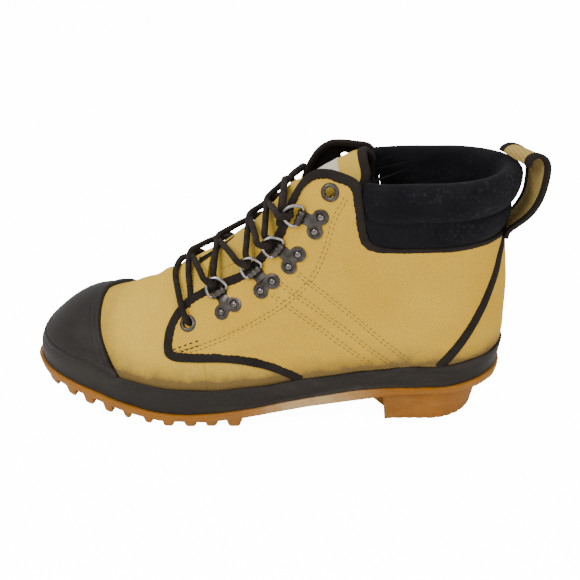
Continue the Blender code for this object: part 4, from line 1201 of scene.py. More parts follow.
    def bind(self) -> bpy.types.Object:
        """The binding round the free edge, narrow under the collar."""
        path = even_path(self.outline(), 1.1)
        line, up, out = self.frames(path, -0.2)
        for _ in range(3):
            out[1:-1] = (out[:-2] + out[1:-1] * 2 + out[2:]) / 4
        out = unit(out)
        under = np.interp(path[:, 0], (60, 76), (0.45, 1.0))
        under[path[:, 1] < 100] = 1.0
        ripple = 1 + 0.035 * np.sin(np.arange(len(path)) * 1.9) + 0.03 * np.sin(np.arange(len(path)) * 0.6)
        work = self.shop.sweep(line, up, out, BINDING_SECTION, under * ripple)
        return self.shop.piece(f"binding_{self.side.word}", work, (Finishes.BINDING,), "black_rubber")

    def tape(self) -> bpy.types.Object:
        """The tape over the heel counter's seam."""
        path = smooth_path(Seams.TAPE, 1.1)
        line, up, out = self.frames(path, 0.1)
        work = self.shop.sweep(line, up, out, TAPE_SECTION)
        return self.shop.piece(f"counter_tape_{self.side.word}", work, (Finishes.BINDING,), "black_rubber")

    def stitch(self) -> None:
        """Sew the seams and the back tack."""
        self.sew("seams", Seams().paths(), Finishes.SEAM, 0.0)
        tacks = [even_path(np.array(ends), 1.0) for ends in Seams.BACK_TACK]
        self.sew("tack", tacks, Finishes.TACK, 0.2, 1.5)

    def sew(self, word: str, paths: Sequence[Array], finish: Finish, over: float, size: float = 1.0) -> None:
        """Sew rows of stitches along flat paths as one piece."""
        stitch = bmesh.new()
        bmesh.ops.create_icosphere(stitch, subdivisions=1, radius=1.0)
        mesh = bpy.data.meshes.new("stitch")
        stitch.to_mesh(mesh)
        stitch.free()
        work = bmesh.new()
        for path in paths:
            spots = even_path(path, Seams.PITCH)
            line, up, out = self.frames(spots, over - 0.05)
            run = np.cross(up, out)
            for k, (point, along, across, height) in enumerate(zip(line, run, out, up)):
                half = Seams.LENGTH / 2 * (1 + 0.06 * math.sin(k * 2.3))
                ways = (Vector(along) * half, Vector(across) * 0.38 * size, Vector(height) * 0.42 * size)
                turn = Matrix.Diagonal((MM, MM, MM, 1)) @ Matrix(ways).transposed().to_4x4()
                turn.translation = Vector(self.last.to_world(point))
                one = mesh.copy()
                one.transform(turn)
                work.from_mesh(one)
                bpy.data.meshes.remove(one)
        bmesh.ops.recalc_face_normals(work, faces=work.faces)
        self.shop.piece(f"stitches_{word}_{self.side.word}", work, (finish,), "canvas", sharp=180.0)


@dataclass
class Vamp(Part):
    """The canvas over the forefoot, and its strips that run back under the quarters."""

    back: float = 178.0
    front: float = 257.0
    strip_back: float = 112.0
    foot: float = 0.75  # level of the lower edges, under the foxing
    strip_height: float = 1.45  # levels that a strip covers

    FOLDS = (  # place on the ridge, reach down the sides as levels, width and height
        (206.0, 2.6, 5.0, -0.9), (213.0, 2.2, 4.5, 0.6), (221.0, 2.4, 5.5, -0.6), (198.0, 2.0, 4.0, 0.5),
        (233.0, 1.8, 6.0, 0.45),
    )

    def relief(self, x: Array, level: Array, side: Array) -> Array:
        """Soft folds across the toes' joint."""
        height = 0.14 * np.sin(x / 6.3 + level * 2.1) * np.sin(level * 3.7 - x / 9.0 + side)
        for place, reach, width, high in self.FOLDS:
            bent = place + 2.5 * (5 - level) - 1.5 * np.sin(level * 2 + side)
            fade = ease((reach + 0.9 - (5 - level)) / 0.9)
            height = height + high * fade * bell(x, bent, width)
        return height

    def make(self) -> bpy.types.Object:
        """The forefoot's canvas and the strips, as one piece."""
        last = self.last

        def over(u: Array, v: Array) -> Array:
            """From feather line to feather line over the ridge."""
            side = np.where(u > 0.5, 1.0, -1.0)
            level = 5 - (5 - self.foot) * abs(2 * u - 1)
            x = self.back + (self.front - self.back) * v
            return last.skin(side, last.share_at(x), level, self.relief(x, level, side))

        def strip(side: float) -> Place:
            """From under the quarter down to the foxing."""
            def place(u: Array, v: Array) -> Array:
                """From the back along the strip, and up."""
                x = self.strip_back + (self.back - self.strip_back) * u
                level = self.foot + self.strip_height * v
                return last.skin(side, last.share_at(x), level, self.relief(x, level, np.full_like(x, side)))
            return place

        parts = [self.shop.grid(96, 84, over)] + [self.shop.grid(50, 18, strip(s.value)) for s in Side]

        def soil(spots: Array) -> Array:
            """Mud above the foxing, under the quarters and along the cap."""
            rise = last.above_foxing(spots)
            return fade(rise, 5.0) + 0.6 * fade(rise, 20.0) + 0.3 * fade(246 - spots[:, 0], 8.0)

        return self.shop.piece(
            "vamp", joined(parts), (Finishes.VAMP, Finishes.LINING), "canvas", wall=1.1, soil=soil,
        )


@dataclass
class Tongue(Part):
    """The tongue: canvas with a bound edge and a bare label."""

    front: float = 187.0
    top: float = 77.0
    thick: float = 3.0

    # Place on the ridge, how far the sides hang down, and half the width
    STATIONS = np.array([
        (84.0, 25.0, 19.0), (100.0, 28.0, 19.5), (120.0, 31.0, 21.5), (140.0, 33.0, 27.0), (160.0, 36.0, 31.0),
        (178.0, 40.0, 36.0), (190.0, 40.0, 40.0),
    ])
    # Place on the ridge, and how far the tongue lies below it
    DROP = np.array([
        (77.0, 21.6), (84.0, 18.0), (90.0, 16.2), (99.0, 14.0), (105.0, 12.2), (112.0, 8.4), (122.0, 2.0), (130.0, 0.0),
    ])
    SINK_BY, SINK, CORNER = 0.45, 3.1, 6.0
    LABEL = (93.0, 17.0, 0.42)  # the label's place on the ridge, its length, and half its share across
    BOUND_FROM, BOUND_AT = 132.0, 0.995  # where the binding starts on the ridge, and its place across
    MIDDLE = np.array([60.0, 0.0, 120.0])  # a place inside the ankle

    def height(self, x: Array) -> Array:
        """Height of the tongue's middle, which drops from the ridge towards its top."""
        return self.last.column("z5", x) - np.interp(x, *self.DROP.T)

    def points(self, along: Array, across: Array, over: Array = 0.0) -> Array:
        """Points of the tongue's outer face.

        Args:
            along: Places on the ridge.
            across: From -1, at the inner edge, to 1, at the outer.
            over: Height over the face.

        Returns:
            Points in the boot's millimetres.
        """
        last = self.last
        along, across = np.broadcast_arrays(along, across)
        slope = (self.height(along + 1) - self.height(along - 1)) / 2
        lean = np.arctan2(-slope, 1) * np.interp(along, (135, 178), (1, 0))
        depth = np.interp(along, *self.STATIONS.T[:2]) * (1 - np.cos(across * np.pi / 2)) ** 0.9
        x = along - depth * np.sin(lean)
        z = self.height(along) - depth * np.cos(lean)
        width = np.empty_like(x)
        for side in Side:
            mask = (across >= 0) == (side is Side.OUTER)
            share = last.share_at(np.maximum(x[mask], last.HEEL_X))
            width[mask] = abs(last.form(side.value, share, last.level_of(side.value, share, z[mask]))[..., 1])
        sink = self.SINK * ease(abs(across) / self.SINK_BY) + 0.9 * ease((along - 172) / 10)
        limit = np.interp(along, *self.STATIONS.T[[0, 2]]) * np.sin(abs(across) * np.pi / 2)
        y = np.sign(across) * np.minimum(width - sink, limit)
        y = np.where(abs(across) < 1e-6, last.column("ridge", x), y)
        fold = 0.5 * np.sin(along / 6.0) * np.cos(across * 2.2) + 0.35 * np.sin(along / 3.1 + across * 3.0)
        lift = over + fold * ease((170 - along) / 25) * ease((along - 90) / 8)
        return np.stack([x + np.sin(lean) * lift, y, z - sink * 0.4 + np.cos(lean) * lift], axis=-1)

    def make(self) -> bpy.types.Object:
        """The tongue's canvas with its wall."""
        def place(u: Array, v: Array) -> Array:
            """From the tongue's foot to its top, whose corners are rounded."""
            return self.points(self.front + (self.top + self.CORNER * abs(2 * u - 1) ** 5 - self.front) * v, 2 * u - 1)

        work = self.shop.grid(64, 120, place)
        finishes = (Finishes.TONGUE, Finishes.LINING)
        return self.shop.piece("tongue_canvas", work, finishes, "canvas", ["tongue"], wall=self.thick)

    def bind(self) -> bpy.types.Object:
        """The dark binding round the tongue's sides and top."""
        corner = np.linspace(-1, 1, 61)
        rise = self.CORNER * (abs(corner) ** 5)
        shoulder = self.top + self.CORNER
        flat = np.vstack([
            np.stack([np.linspace(self.BOUND_FROM, shoulder, 50, endpoint=False), np.full(50, -self.BOUND_AT)], axis=1),
            np.stack([self.top + rise, corner * self.BOUND_AT], axis=1),
            np.stack([np.linspace(shoulder, self.BOUND_FROM, 51)[1:], np.full(50, self.BOUND_AT)], axis=1),
        ])
        line = smooth_path(self.points(flat[:, 0], flat[:, 1], 0.1)[::3], 1.0)
        inner = self.points(flat[:, 0] + 3.0 * (abs(flat[:, 1]) < 0.99), flat[:, 1] * 0.9, 0.1)
        inner = smooth_path(inner[::3], 1.0)
        inner = inner[np.linspace(0, len(inner) - 1, len(line)).round().astype(int)]
        run = np.gradient(line, axis=0)
        up = np.cross(line - inner, run)
        up = unit(up * np.where((up * (line - self.MIDDLE)).sum(axis=1) < 0, -1, 1)[:, None])
        out = np.cross(run, up)
        out = unit(out * np.where((out * (line - inner)).sum(axis=1) < 0, -1, 1)[:, None])
        section = BINDING_SECTION * (0.9, 1.0) + (0.2, 0.0)
        section[section[:, 1] < -0.5, 1] *= 1.25
        work = self.shop.sweep(line, up, out, section)
        return self.shop.piece("binding_tongue", work, (Finishes.BINDING,), "black_rubber")

    def label(self) -> bpy.types.Object:
        """A bare patch of woven tape sewn below the tongue's top."""
        start, length, half = self.LABEL

        def place(u: Array, v: Array) -> Array:
            """From the inner edge across to the outer, and down the tongue."""
            edge = np.minimum(np.minimum(u, 1 - u) * 24, np.minimum(v, 1 - v) * 16)
            return self.points(start + length * v, -half + 2 * half * u, 0.15 + 0.5 * ease(edge / 0.8))

        return self.shop.piece("label_patch", self.shop.grid(24, 18, place), (Finishes.LABEL,), "canvas", wall=0.6)


# ---------------------------------------------------------------- rubber and sole


def round_boot(w: Array) -> tuple[Array, Array]:
    """Side and share of places round the whole boot, from the heel by the outer side and back."""
    turn = 1 - abs(2 * w - 1)
    return np.where((w <= 0.5) | (w > 1 - 1e-9), 1.0, -1.0), turn


@dataclass
class Foxing(Part):
    """The rubber strip round the upper's lower edge, with its overlap joint."""

    thick: float = 3.3
    joint: float = 52.0

    # The strip's section: level on the rib, and share of its thickness.
    SECTION = np.array([
        (0.0, 0.1), (0.0, 1.0), (0.06, 1.08), (0.16, 1.08), (0.22, 1.0), (0.4, 1.0), (0.6, 0.98), (0.78, 0.95),
        (0.88, 0.92), (0.93, 0.84), (0.955, 0.62), (0.95, 0.35), (0.9, 0.1), (0.5, 0.1), (0.0, 0.1),
    ])

    def make(self) -> bpy.types.Object:
        """The strip as a closed ring."""
        last = self.last

        def place(u: Array, v: Array) -> Array:
            """The section at each place round the boot."""
            side, share = round_boot(v)
            level, thick = read(self.SECTION, u * (len(self.SECTION) - 1))
            base = last.form(side, share, level)
            slant = self.joint + (level - 0.5) * 16
            step = ease((base[..., 0] - slant) / 1.2) * (side > 0) * ease((150 - base[..., 0]) / 60)
            wave = 0.12 * np.sin(share * 90 + level * 3) + 0.1 * np.sin(share * 37 - level * 5 + side)
            lift = self.thick * thick + (0.55 * step + wave) * (thick > 0.5)
            point = base + lift[..., None] * last.outward(side, share, level, True)
            point[..., 2] += 0.25 * np.sin(share * 61 + side) * (level > 0.8)
            point[..., 2] = np.where(level < 0.01, last.sole_top(point[..., 0]) + 0.3, point[..., 2])
            return point

        work = self.shop.grid(2 * (len(self.SECTION) - 1), 560, place, join=True)

        def soil(spots: Array) -> Array:
            """Dust near the cap's foot, by the shank and along the sole."""
            low = spots[:, 2] - last.sole_top(np.clip(spots[:, 0], 0, 300))
            cap = bell(spots[:, 0], 238, 9) * (spots[:, 2] > 30)
            shank = bell(spots[:, 0], 95, 40)
            return 0.6 * fade(low, 2.5) + 0.35 * cap + 0.25 * shank * fade(low, 7)

        return self.shop.piece("foxing_strip", work, (Finishes.FOXING,), "black_rubber", ["foxing"], soil=soil)


@dataclass
class ToeCap(Part):
    """The moulded cap over the toe, with a raised line behind its edge."""

    thick: float = 2.7

    BACK, LEAN = 236.0, 21.0  # the edge's lowest place, and how far it leans ahead
    BASE, RISE = 36.0, 40.0  # the height where it starts to lean, and the height it takes
    FOLD_LEVEL = 1.12  # where the fold over the foxing lies
    RAISED = ((6.0, 0.8, 0.55), (8.0, 1.2, -0.25))  # lines behind the edge: place, width and height
    AHEAD = np.array([0.32, 0.0, 0.95])  # the way out at the ridge, where the rows meet

    def seam_x(self, height: Array) -> Array:
        """Rib place of the cap's back edge at a height."""
        return self.BACK + self.LEAN * np.clip((height - self.BASE) / self.RISE, 0, 1)

    def make(self) -> bpy.types.Object:
        """The cap, rounded down to the canvas at its back edge."""
        last = self.last

        def place(u: Array, v: Array) -> Array:
            """From one seam round the toe to the other, and from the foxing up to the ridge."""
            side = np.where(u < 0.5, 1.0, -1.0)
            level = 0.86 + 4.14 * v
            height = last.form(side, last.share_at(244.0), level)[..., 2]
            back = last.share_at(self.seam_x(height))
            share = back + (1 - back) * (1 - abs(2 * u - 1))
            away = (share - back) / (1 - last.HEEL_SHARE - last.TOE_SHARE) * (last.TOE_X - last.HEEL_X)
            round_off = np.sqrt(np.clip(1 - (1 - np.clip(away / 2.2, 0, 1)) ** 2, 0, 1))
            ridge = sum(high * bell(away, place, width) for place, width, high in self.RAISED)
            fold = -0.55 * bell(level, self.FOLD_LEVEL, 0.07)
            lift = 0.2 + self.thick * round_off + (ridge + fold) * (1 - ease((level - 4.6) / 0.4))
            top = ease((level - 4.2) / 0.7)[..., None]
            way = last.outward(side, share, np.minimum(level, 4.9)) * (1 - top) + self.AHEAD * top
            return last.form(side, share, level) + lift[..., None] * way / np.linalg.norm(way, axis=-1)[..., None]

        work = self.shop.grid(150, 60, place)
        weld(work, 4e-6)
        self.shop.turn_out(work)

        def soil(spots: Array) -> Array:
            """Dust in the fold over the foxing and at the back edge."""
            fold = bell(last.above_foxing(spots), 2, 2.5)
            return 0.3 * fold + 0.25 * fade(spots[:, 0] - 238, 5)

        return self.shop.piece(
            "toe_cap_rubber", work, (Finishes.CAP,), "black_rubber", ["toe_cap"], wall=1.6, soil=soil, even=False,
        )


@dataclass
class Outsole(Part):
    """The gum sole: a plate, a block heel with a wedge, and rounded cleats."""

    edge: float = 5.1

    # Place along the sole, height of the plate's underside, and height of the cleats' foot
    TREAD = np.array([
        (0.0, 24.5, 24.5), (60.0, 21.5, 21.5), (86.0, 18.5, 18.5), (115.0, 15.0, 15.0), (138.0, 11.0, 11.0),
        (156.0, 7.5, 0.0), (180.0, 4.5, 0.0), (212.0, 4.8, 0.0), (230.0, 8.0, 2.0), (253.0, 12.6, 5.3),
        (276.0, 17.6, 10.2), (292.0, 21.2, 14.4), (313.0, 26.6, 21.0),
    ])
    # The heel block's rings: height, place of the back, and inset
    HEEL = ((24.5, 7.0, 3.0), (20.0, 9.0, 3.6), (3.0, 14.2, 5.4), (0.6, 14.7, 5.8), (0.0, 15.6, 6.8))
    HEEL_OUT = 4.8  # how far the block stands out from the feather line
    BREAST, WEDGE, WEDGE_HALF = 68.0, 88.0, 22.0
    MIDDLE_HALF, MIDDLE_Y = 15.0, -3.5  # half the width of a middle cleat, and its place across
    # The cleats: way between rows, rows, the first row, where they end, a cleat's length, and how far it is sunk
    PITCH, ROWS, START, END, LENGTH, SINK = 14.4, 10, 163.0, 305.0, 10.6, 2.0

    def under(self, x: Array, column: int) -> Array:
        """Height of the plate's underside, column 1, or of the cleats' foot, column 2."""
        return np.interp(x, self.TREAD[:, 0], self.TREAD[:, column])

    def plate(self) -> bpy.types.Object:
        """The plate with its moulded edge."""
        last = self.last
        # Share from the plate's top to its underside, lift, and share of the way in to the middle
        section = np.array([
            (0.0, -2.0, 1.0), (0.0, -2.0, 0.5), (0.0, -2.0, 0.0), (0.0, 4.6, 0.0), (0.06, 5.1, 0.0), (0.22, 5.2, 0.0),
            (0.3, 4.8, 0.0), (0.38, 5.0, 0.0), (0.7, 4.8, 0.0), (0.92, 4.5, 0.0), (1.0, 4.0, 0.0), (1.0, 3.0, 0.12),
            (1.0, 3.0, 0.5), (1.0, 3.0, 1.0),
        ])

        def place(u: Array, v: Array) -> Array:
            """The section at each place round the sole."""
            side, share = round_boot(v)
            drop, lift, inward = read(section, u * (len(section) - 1))
            wave = 0.15 * np.sin(share * 150 + side) * (lift > 4)
            point = last.skin(side, share, 0.0, lift + wave, True)
            other = last.skin(-side, share, 0.0, lift, True)
            point[..., :2] += (other - point)[..., :2] / 2 * inward[..., None]
            top = last.sole_top(point[..., 0])
            point[..., 2] = top + (self.under(point[..., 0], 1) - top) * drop
            return point

        work = self.shop.grid(39, 480, place, join=True)
        return self.shop.piece("sole_plate", work, (Finishes.GUM,), "gum_rubber", ["outsole"], soil=self.soil)

    def soil(self, spots: Array) -> Array:
        """Dust on the sole's edge and under the shank."""
        shank = bell(spots[:, 0], 112, 34)
        return 0.08 + 0.95 * shank

    def heel(self) -> bpy.types.Object:
        """The heel block with its rounded foot, tread grooves and sloping wedge."""
        last = self.last
        outlines = np.array(self.HEEL)

        def place(u: Array, v: Array) -> Array:
            """Rings from the plate down to the foot, closed over the foot."""
            turn = np.clip(abs(2 * u - 1), 0, 1)
            side = np.where(u <= 0.5, 1.0, -1.0)
            share = last.share_at(self.BREAST) * turn
            row = v * len(outlines)
            height, back, inset = read(outlines, row)
            point = last.skin(side, share, 0.0, self.HEEL_OUT - inset, True)
            start = 2.5 - self.HEEL_OUT + inset
            point[..., 0] = back + (self.BREAST - back) * (point[..., 0] - start) / (self.BREAST - start)
            point[..., 2] = height
            inward = np.clip(row - (len(outlines) - 1), 0, 1)
            point[..., 1] *= 1 - inward
            lugs = 0.5 * (np.sin(share * 260) > 0.2) * ease((6 - height) / 3) * (row < len(outlines) - 0.9)
            point[..., 1] -= side * lugs * ease(point[..., 0] / 30)
            return point

        block = self.shop.grid(150, 20, place)
        weld(block)
        bmesh.ops.dissolve_degenerate(block, edges=block.edges, dist=1e-6)
        self.shop.close_ends(block)
        parts = [block, self.box([
            (x, y, z) for y in (-self.WEDGE_HALF, self.WEDGE_HALF)
            for x, z in ((self.BREAST - 4, 1.0), (self.BREAST, 1.0), (self.WEDGE, 19.5), (self.BREAST - 4, 24.0))
        ], 1.2)]
        return self.shop.piece("heel_block", joined(parts), (Finishes.GUM,), "gum_rubber")

    def box(self, corners: Sequence[Sequence[float]], round_by: float) -> bmesh.types.BMesh:
        """A block between two four-cornered ends, with rounded edges."""
        work = bmesh.new()
        verts = [work.verts.new(self.last.to_world(np.array(p))) for p in corners]
        for loop in ((0, 1, 2, 3), (7, 6, 5, 4), (0, 4, 5, 1), (1, 5, 6, 2), (2, 6, 7, 3), (3, 7, 4, 0)):
            work.faces.new([verts[i] for i in loop])
        bmesh.ops.recalc_face_normals(work, faces=work.faces)
        bmesh.ops.bevel(
            work, geom=work.edges[:] + work.verts[:], offset=round_by * MM, segments=3, profile=0.5, affect="EDGES",
            material=-1,
        )
        work.loops.layers.uv.new("cloth")
        return work

    def cleat(self, x: float, block: int, lean: float) -> bmesh.types.BMesh:
        """One cleat: a block that narrows towards its foot and reaches past the plate's edge."""
        share = np.linspace(0, 1, 241)
        line = self.last.skin(float(block or 1), share, np.zeros(241), np.full(241, self.edge - 0.6), True)
        half = self.LENGTH / 2 + 0.7 * math.sin(x * 1.7 + block)
        foot = float(self.under(x, 2))
        corners = []
        for wing in (-1, 1):
            for end, low in ((-1, False), (1, False), (1, True), (-1, True)):
                shrink = 2.3 + 0.5 * math.sin(x * 2.3 + 2 * block) if low else 0.0
                px = x + end * (half - shrink) - (3.0 if block == 0 else 0.0) + (lean if low else 0.0)
                if block == 0:
                    y = wing * (self.MIDDLE_HALF - shrink) + self.MIDDLE_Y
                else:
                    rim = abs(np.interp(px, line[:, 0], line[:, 1]))
                    y = block * (rim - shrink * 0.7 + 0.4 if wing > 0 else max(rim * 0.52, 6.0) + shrink)
                z = foot if low else float(self.under(px, 1)) + self.SINK + (3.0 if block and wing > 0 else 0.0)
                if low and foot > 0:
                    z = float(self.under(px, 2))
                corners.append((px, y, z))
        return self.box(corners, 1.9)

    def cleats(self) -> bpy.types.Object:
        """Rows of cleats under the forefoot: one at each edge and one in the middle."""
        parts = []
        for row in range(self.ROWS):
            for block in (-1, 0, 1):
                x = self.START + row * self.PITCH + (self.PITCH / 2 - 1.5 if block == 0 else 0)
                if x < self.END:
                    parts.append(self.cleat(x, block, 0.9 if row % 2 else 0.3))
        return self.shop.piece("cleats", joined(parts), (Finishes.GUM,), "gum_rubber")


@dataclass
class Insole(Part):
    """The dark footbed inside the boot."""

    INSET, LIFT, DISH = 3.2, 4.3, 1.2  # in from the feather line, up from the sole, and the heel's dish

    def make(self) -> bpy.types.Object:
        """The footbed, dished under the heel."""
        last = self.last

        def place(u: Array, v: Array) -> Array:
            """From the outer rim across to the inner, heel to toe."""
            lift = np.full_like(v, -self.INSET)
            out, inner = (last.skin(side, v, 0.0, lift, True) for side in (1.0, -1.0))
            point = out + (inner - out) * u[..., None]
            dish = self.DISH * np.sin(np.pi * u) * bell(point[..., 0], 40, 40)
            point[..., 2] = last.sole_top(point[..., 0]) + self.LIFT - dish
            return point

        work = self.shop.grid(20, 80, place)
        bmesh.ops.recalc_face_normals(work, faces=work.faces)
        if sum(face.normal.z for face in work.faces) < 0:
            bmesh.ops.reverse_faces(work, faces=work.faces)
        return self.shop.piece("footbed", work, (Finishes.LINING,), "lining", ["insole"], wall=3.8)


# ---------------------------------------------------------------- collar and pull loop


@dataclass
class Collar(Part):
    """The padded collar: a band with two rolls and a stitched line between them."""

    front: float = 73.0
    top_back: float = 160.5
    top_front: float = 161.0
    clearance: float = 1.3
    tuck: float = 3.5  # how much further the inner end reaches, in behind the ear
    rings: int = 190

    SECTION = np.array([
        (0.0, 0.4), (0.04, 1.7), (0.1, 2.6), (0.2, 3.3), (0.3, 3.0), (0.375, 1.9), (0.405, 1.0), (0.425, 1.1),
        (0.45, 2.2), (0.53, 3.7), (0.64, 4.5), (0.76, 4.5), (0.87, 3.6), (0.95, 1.6), (0.995, -1.2), (1.005, -3.9),
        (0.985, -6.4), (0.93, -8.4), (0.83, -9.7), (0.68, -10.1), (0.45, -9.8), (0.22, -9.2), (0.09, -7.6),
        (0.02, -4.2), (0.0, -1.6),
    ])
    PUCKER = 4.4
    SEAM = 0.41  # share of the height where the stitched line lies
    CLOSING = 0.018  # share of the length over which an end closes

    def make(self) -> bpy.types.Object:
        """The collar, closed and rounded at both front ends."""
        last = self.last
        section = np.vstack([self.SECTION, self.SECTION[:1]])
        ends = [float(last.share_at(self.front + more)) for more in (self.tuck, 0.0)]

        def place(u: Array, v: Array) -> Array:
            """The section at each place from the inner front end round the heel to the outer."""
            run = 2 * v - 1
            side = np.where(run >= 0, 1.0, -1.0)
            share = np.where(side > 0, ends[1], ends[0]) * np.sin(np.clip(abs(run), 0, 1) * np.pi / 2) ** 0.85
            x = last.form(side, share, np.full_like(share, 3.0))[..., 0]
            rib_x = last.BACK + share * (last.TOE_X - last.BACK) / (1 - last.TOE_SHARE)
            low = through(*Quarter.EDGE.T, np.clip(rib_x, 35, self.front) + self.clearance, snug=True) + 0.5
            high = np.interp(x, (-15, self.front), (self.top_back, self.top_front))
            thin = np.interp(x, (48, self.front), (1.0, 0.75))
            height, lift = read(section, u * (len(section) - 1))
            wave = np.sin(rib_x / self.PUCKER * 2 * np.pi + side) * bell(height, self.SEAM, 0.06)
            soft = 0.45 * np.sin(rib_x / 13 + height * 5) + 0.3 * np.sin(rib_x / 5.3 - height * 8 + side)
            lift = (lift + (0.22 * wave + 0.5 * soft) * (lift > 0) + 0.4 * soft * (lift < -8)) * thin
            z = low + (high - low) * height
            level = np.empty_like(z)
            for one in Side:
                mask = side == one.value
                level[mask] = last.level_of(one.value, share[mask], z[mask])
            point = last.form(side, share, level) + lift[..., None] * last.outward(side, share, level, True)
            centre = point.mean(axis=1, keepdims=True)
            close = np.clip((1 - abs(run)) / self.CLOSING, 0, 1)[..., None]
            return centre + (point - centre) * np.sqrt(1 - (1 - close) ** 2)

        work = self.shop.grid(2 * (len(section) - 1), self.rings, place, join=True)
        made = self.shop.piece("padded_collar", work, (Finishes.COLLAR,), "collar_cloth", ["collar"], sharp=80.0)
        soft = made.modifiers.new("round", "SUBSURF")
        soft.levels = soft.render_levels = 1
        return made


@dataclass
class PullLoop(Part):
    """The webbing loop behind the collar, tan with dark bound edges."""

    width: float = 30.0
    thick: float = 2.2

    # The strap's line at its outer edge and, beside it, at its inner edge
    LINES = (
        (-5.6, 119.0, -5.6, 119.0), (-6.4, 122.5, -6.4, 122.5), (-11.0, 126.8, -10.2, 127.0),
        (-16.3, 131.0, -13.2, 132.0), (-20.8, 136.0, -15.7, 138.0), (-24.6, 143.0, -16.8, 145.0),
        (-27.2, 152.0, -17.0, 153.0), (-28.4, 162.0, -15.5, 160.5), (-26.8, 167.2, -11.5, 165.2),
        (-22.8, 169.4, -6.5, 166.6), (-18.8, 167.4, -2.6, 165.2), (-17.6, 163.0, -1.4, 163.4),
    )

    def band(
        self, name: str, low: float, high: float, thick: float, finish: Finish, nodes: Sequence[str] = (),
    ) -> bpy.types.Object:
        """A band of the strap between two places across it, with rounded edges."""
        flat = smooth_path(self.LINES, 1.2)
        half = self.width / 2
        outer, inner = (np.insert(flat[:, k:k + 2], 1, y, axis=1) for k, y in ((0, half), (2, -half)))
        line, across = (outer + inner) / 2, (outer - inner) / self.width
        run = np.gradient(line, axis=0)
        up = unit(np.cross(across, run))
        half = thick / 2
        top = [(y, half * h) for y, h in ((low, 0.4), (low + 0.3, 0.85), (low + 0.9, 1.0), ((low + high) / 2, 1.04),
                                         (high - 0.9, 1.0), (high - 0.3, 0.85), (high, 0.4))]
        section = np.array(top + [(y, -h) for y, h in reversed(top)])
        work = self.shop.sweep(line, up, across, section)
        return self.shop.piece(name, work, (finish,), "webbing", nodes)

    def make(self) -> None:
        """The strap and its two bound edges."""
        half = self.width / 2
        self.band("loop_strap", -half + 1.0, half - 1.0, self.thick * 0.8, Finishes.LOOP, ["pull_loop"])
        self.band("loop_edge_outer", half - 5.0, half, self.thick * 1.25, Finishes.BINDING)
        self.band("loop_edge_inner", -half, -half + 5.0, self.thick * 1.25, Finishes.BINDING)


# ---------------------------------------------------------------- hardware and lace

# Clips along the throat from the toe upwards: the middle of the two rivets and the heading.
CLIPS = ((160.9, 80.8, 55.0), (135.0, 96.3, 49.0), (117.5, 113.5, 37.0), (101.5, 136.5, 25.0))
EYELETS = ((187.8, 69.8), (93.3, 155.6))
RIVET_SPREAD, LOBE = 5.0, 4.9  # half the way between two rivets, and the plate's radius round each
BARREL_X, BARREL_Z, BARREL_LENGTH = 11.0, 2.7, 9.6
RING_APEX = (20.2, 5.9)
RING_HALF = 6.6


def resting(
    last: Last, side: float, x: float, z: float, heading: float, spread: float = RIVET_SPREAD,
    reach: float = BARREL_X,
) -> Matrix:
    """A frame that rests on the quarter: X along the heading, Z out of the canvas.

    Args:
        last: The last.
        side: +1 or -1.
        x: Place along the boot.
        z: Height.
        heading: Angle above level, in radians.
        spread: Reach of the piece to each side.
        reach: Reach of the piece ahead.

    Returns:
        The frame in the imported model's metres.
    """
    ahead = np.array([math.cos(heading), math.sin(heading)])
    beside = np.array([math.sin(heading), -math.cos(heading)]) * side
    marks = {
        (fx, fy): last.spot(side, x + fx * ahead[0] + fy * beside[0], z + fx * ahead[1] + fy * beside[1])
        for fx in (-0.8 * spread, 0.0, reach) for fy in (-1.8 * spread, 0.0, 1.8 * spread)
    }
    along = Vector(marks[reach, 0.0] - marks[-0.8 * spread, 0.0]).normalized()
    across = Vector(marks[0.0, 1.8 * spread] - marks[0.0, -1.8 * spread])
    across = (across - across.dot(along) * along).normalized()
    up = along.cross(across)
    here = Vector(marks[0.0, 0.0])
    rise = max((Vector(mark) - here).dot(up) for mark in marks.values())
    frame = Matrix((along, across, up)).transposed().to_4x4()
    frame.translation = Vector(last.to_world(np.array(here + (rise + 0.3) * up)))
    return frame


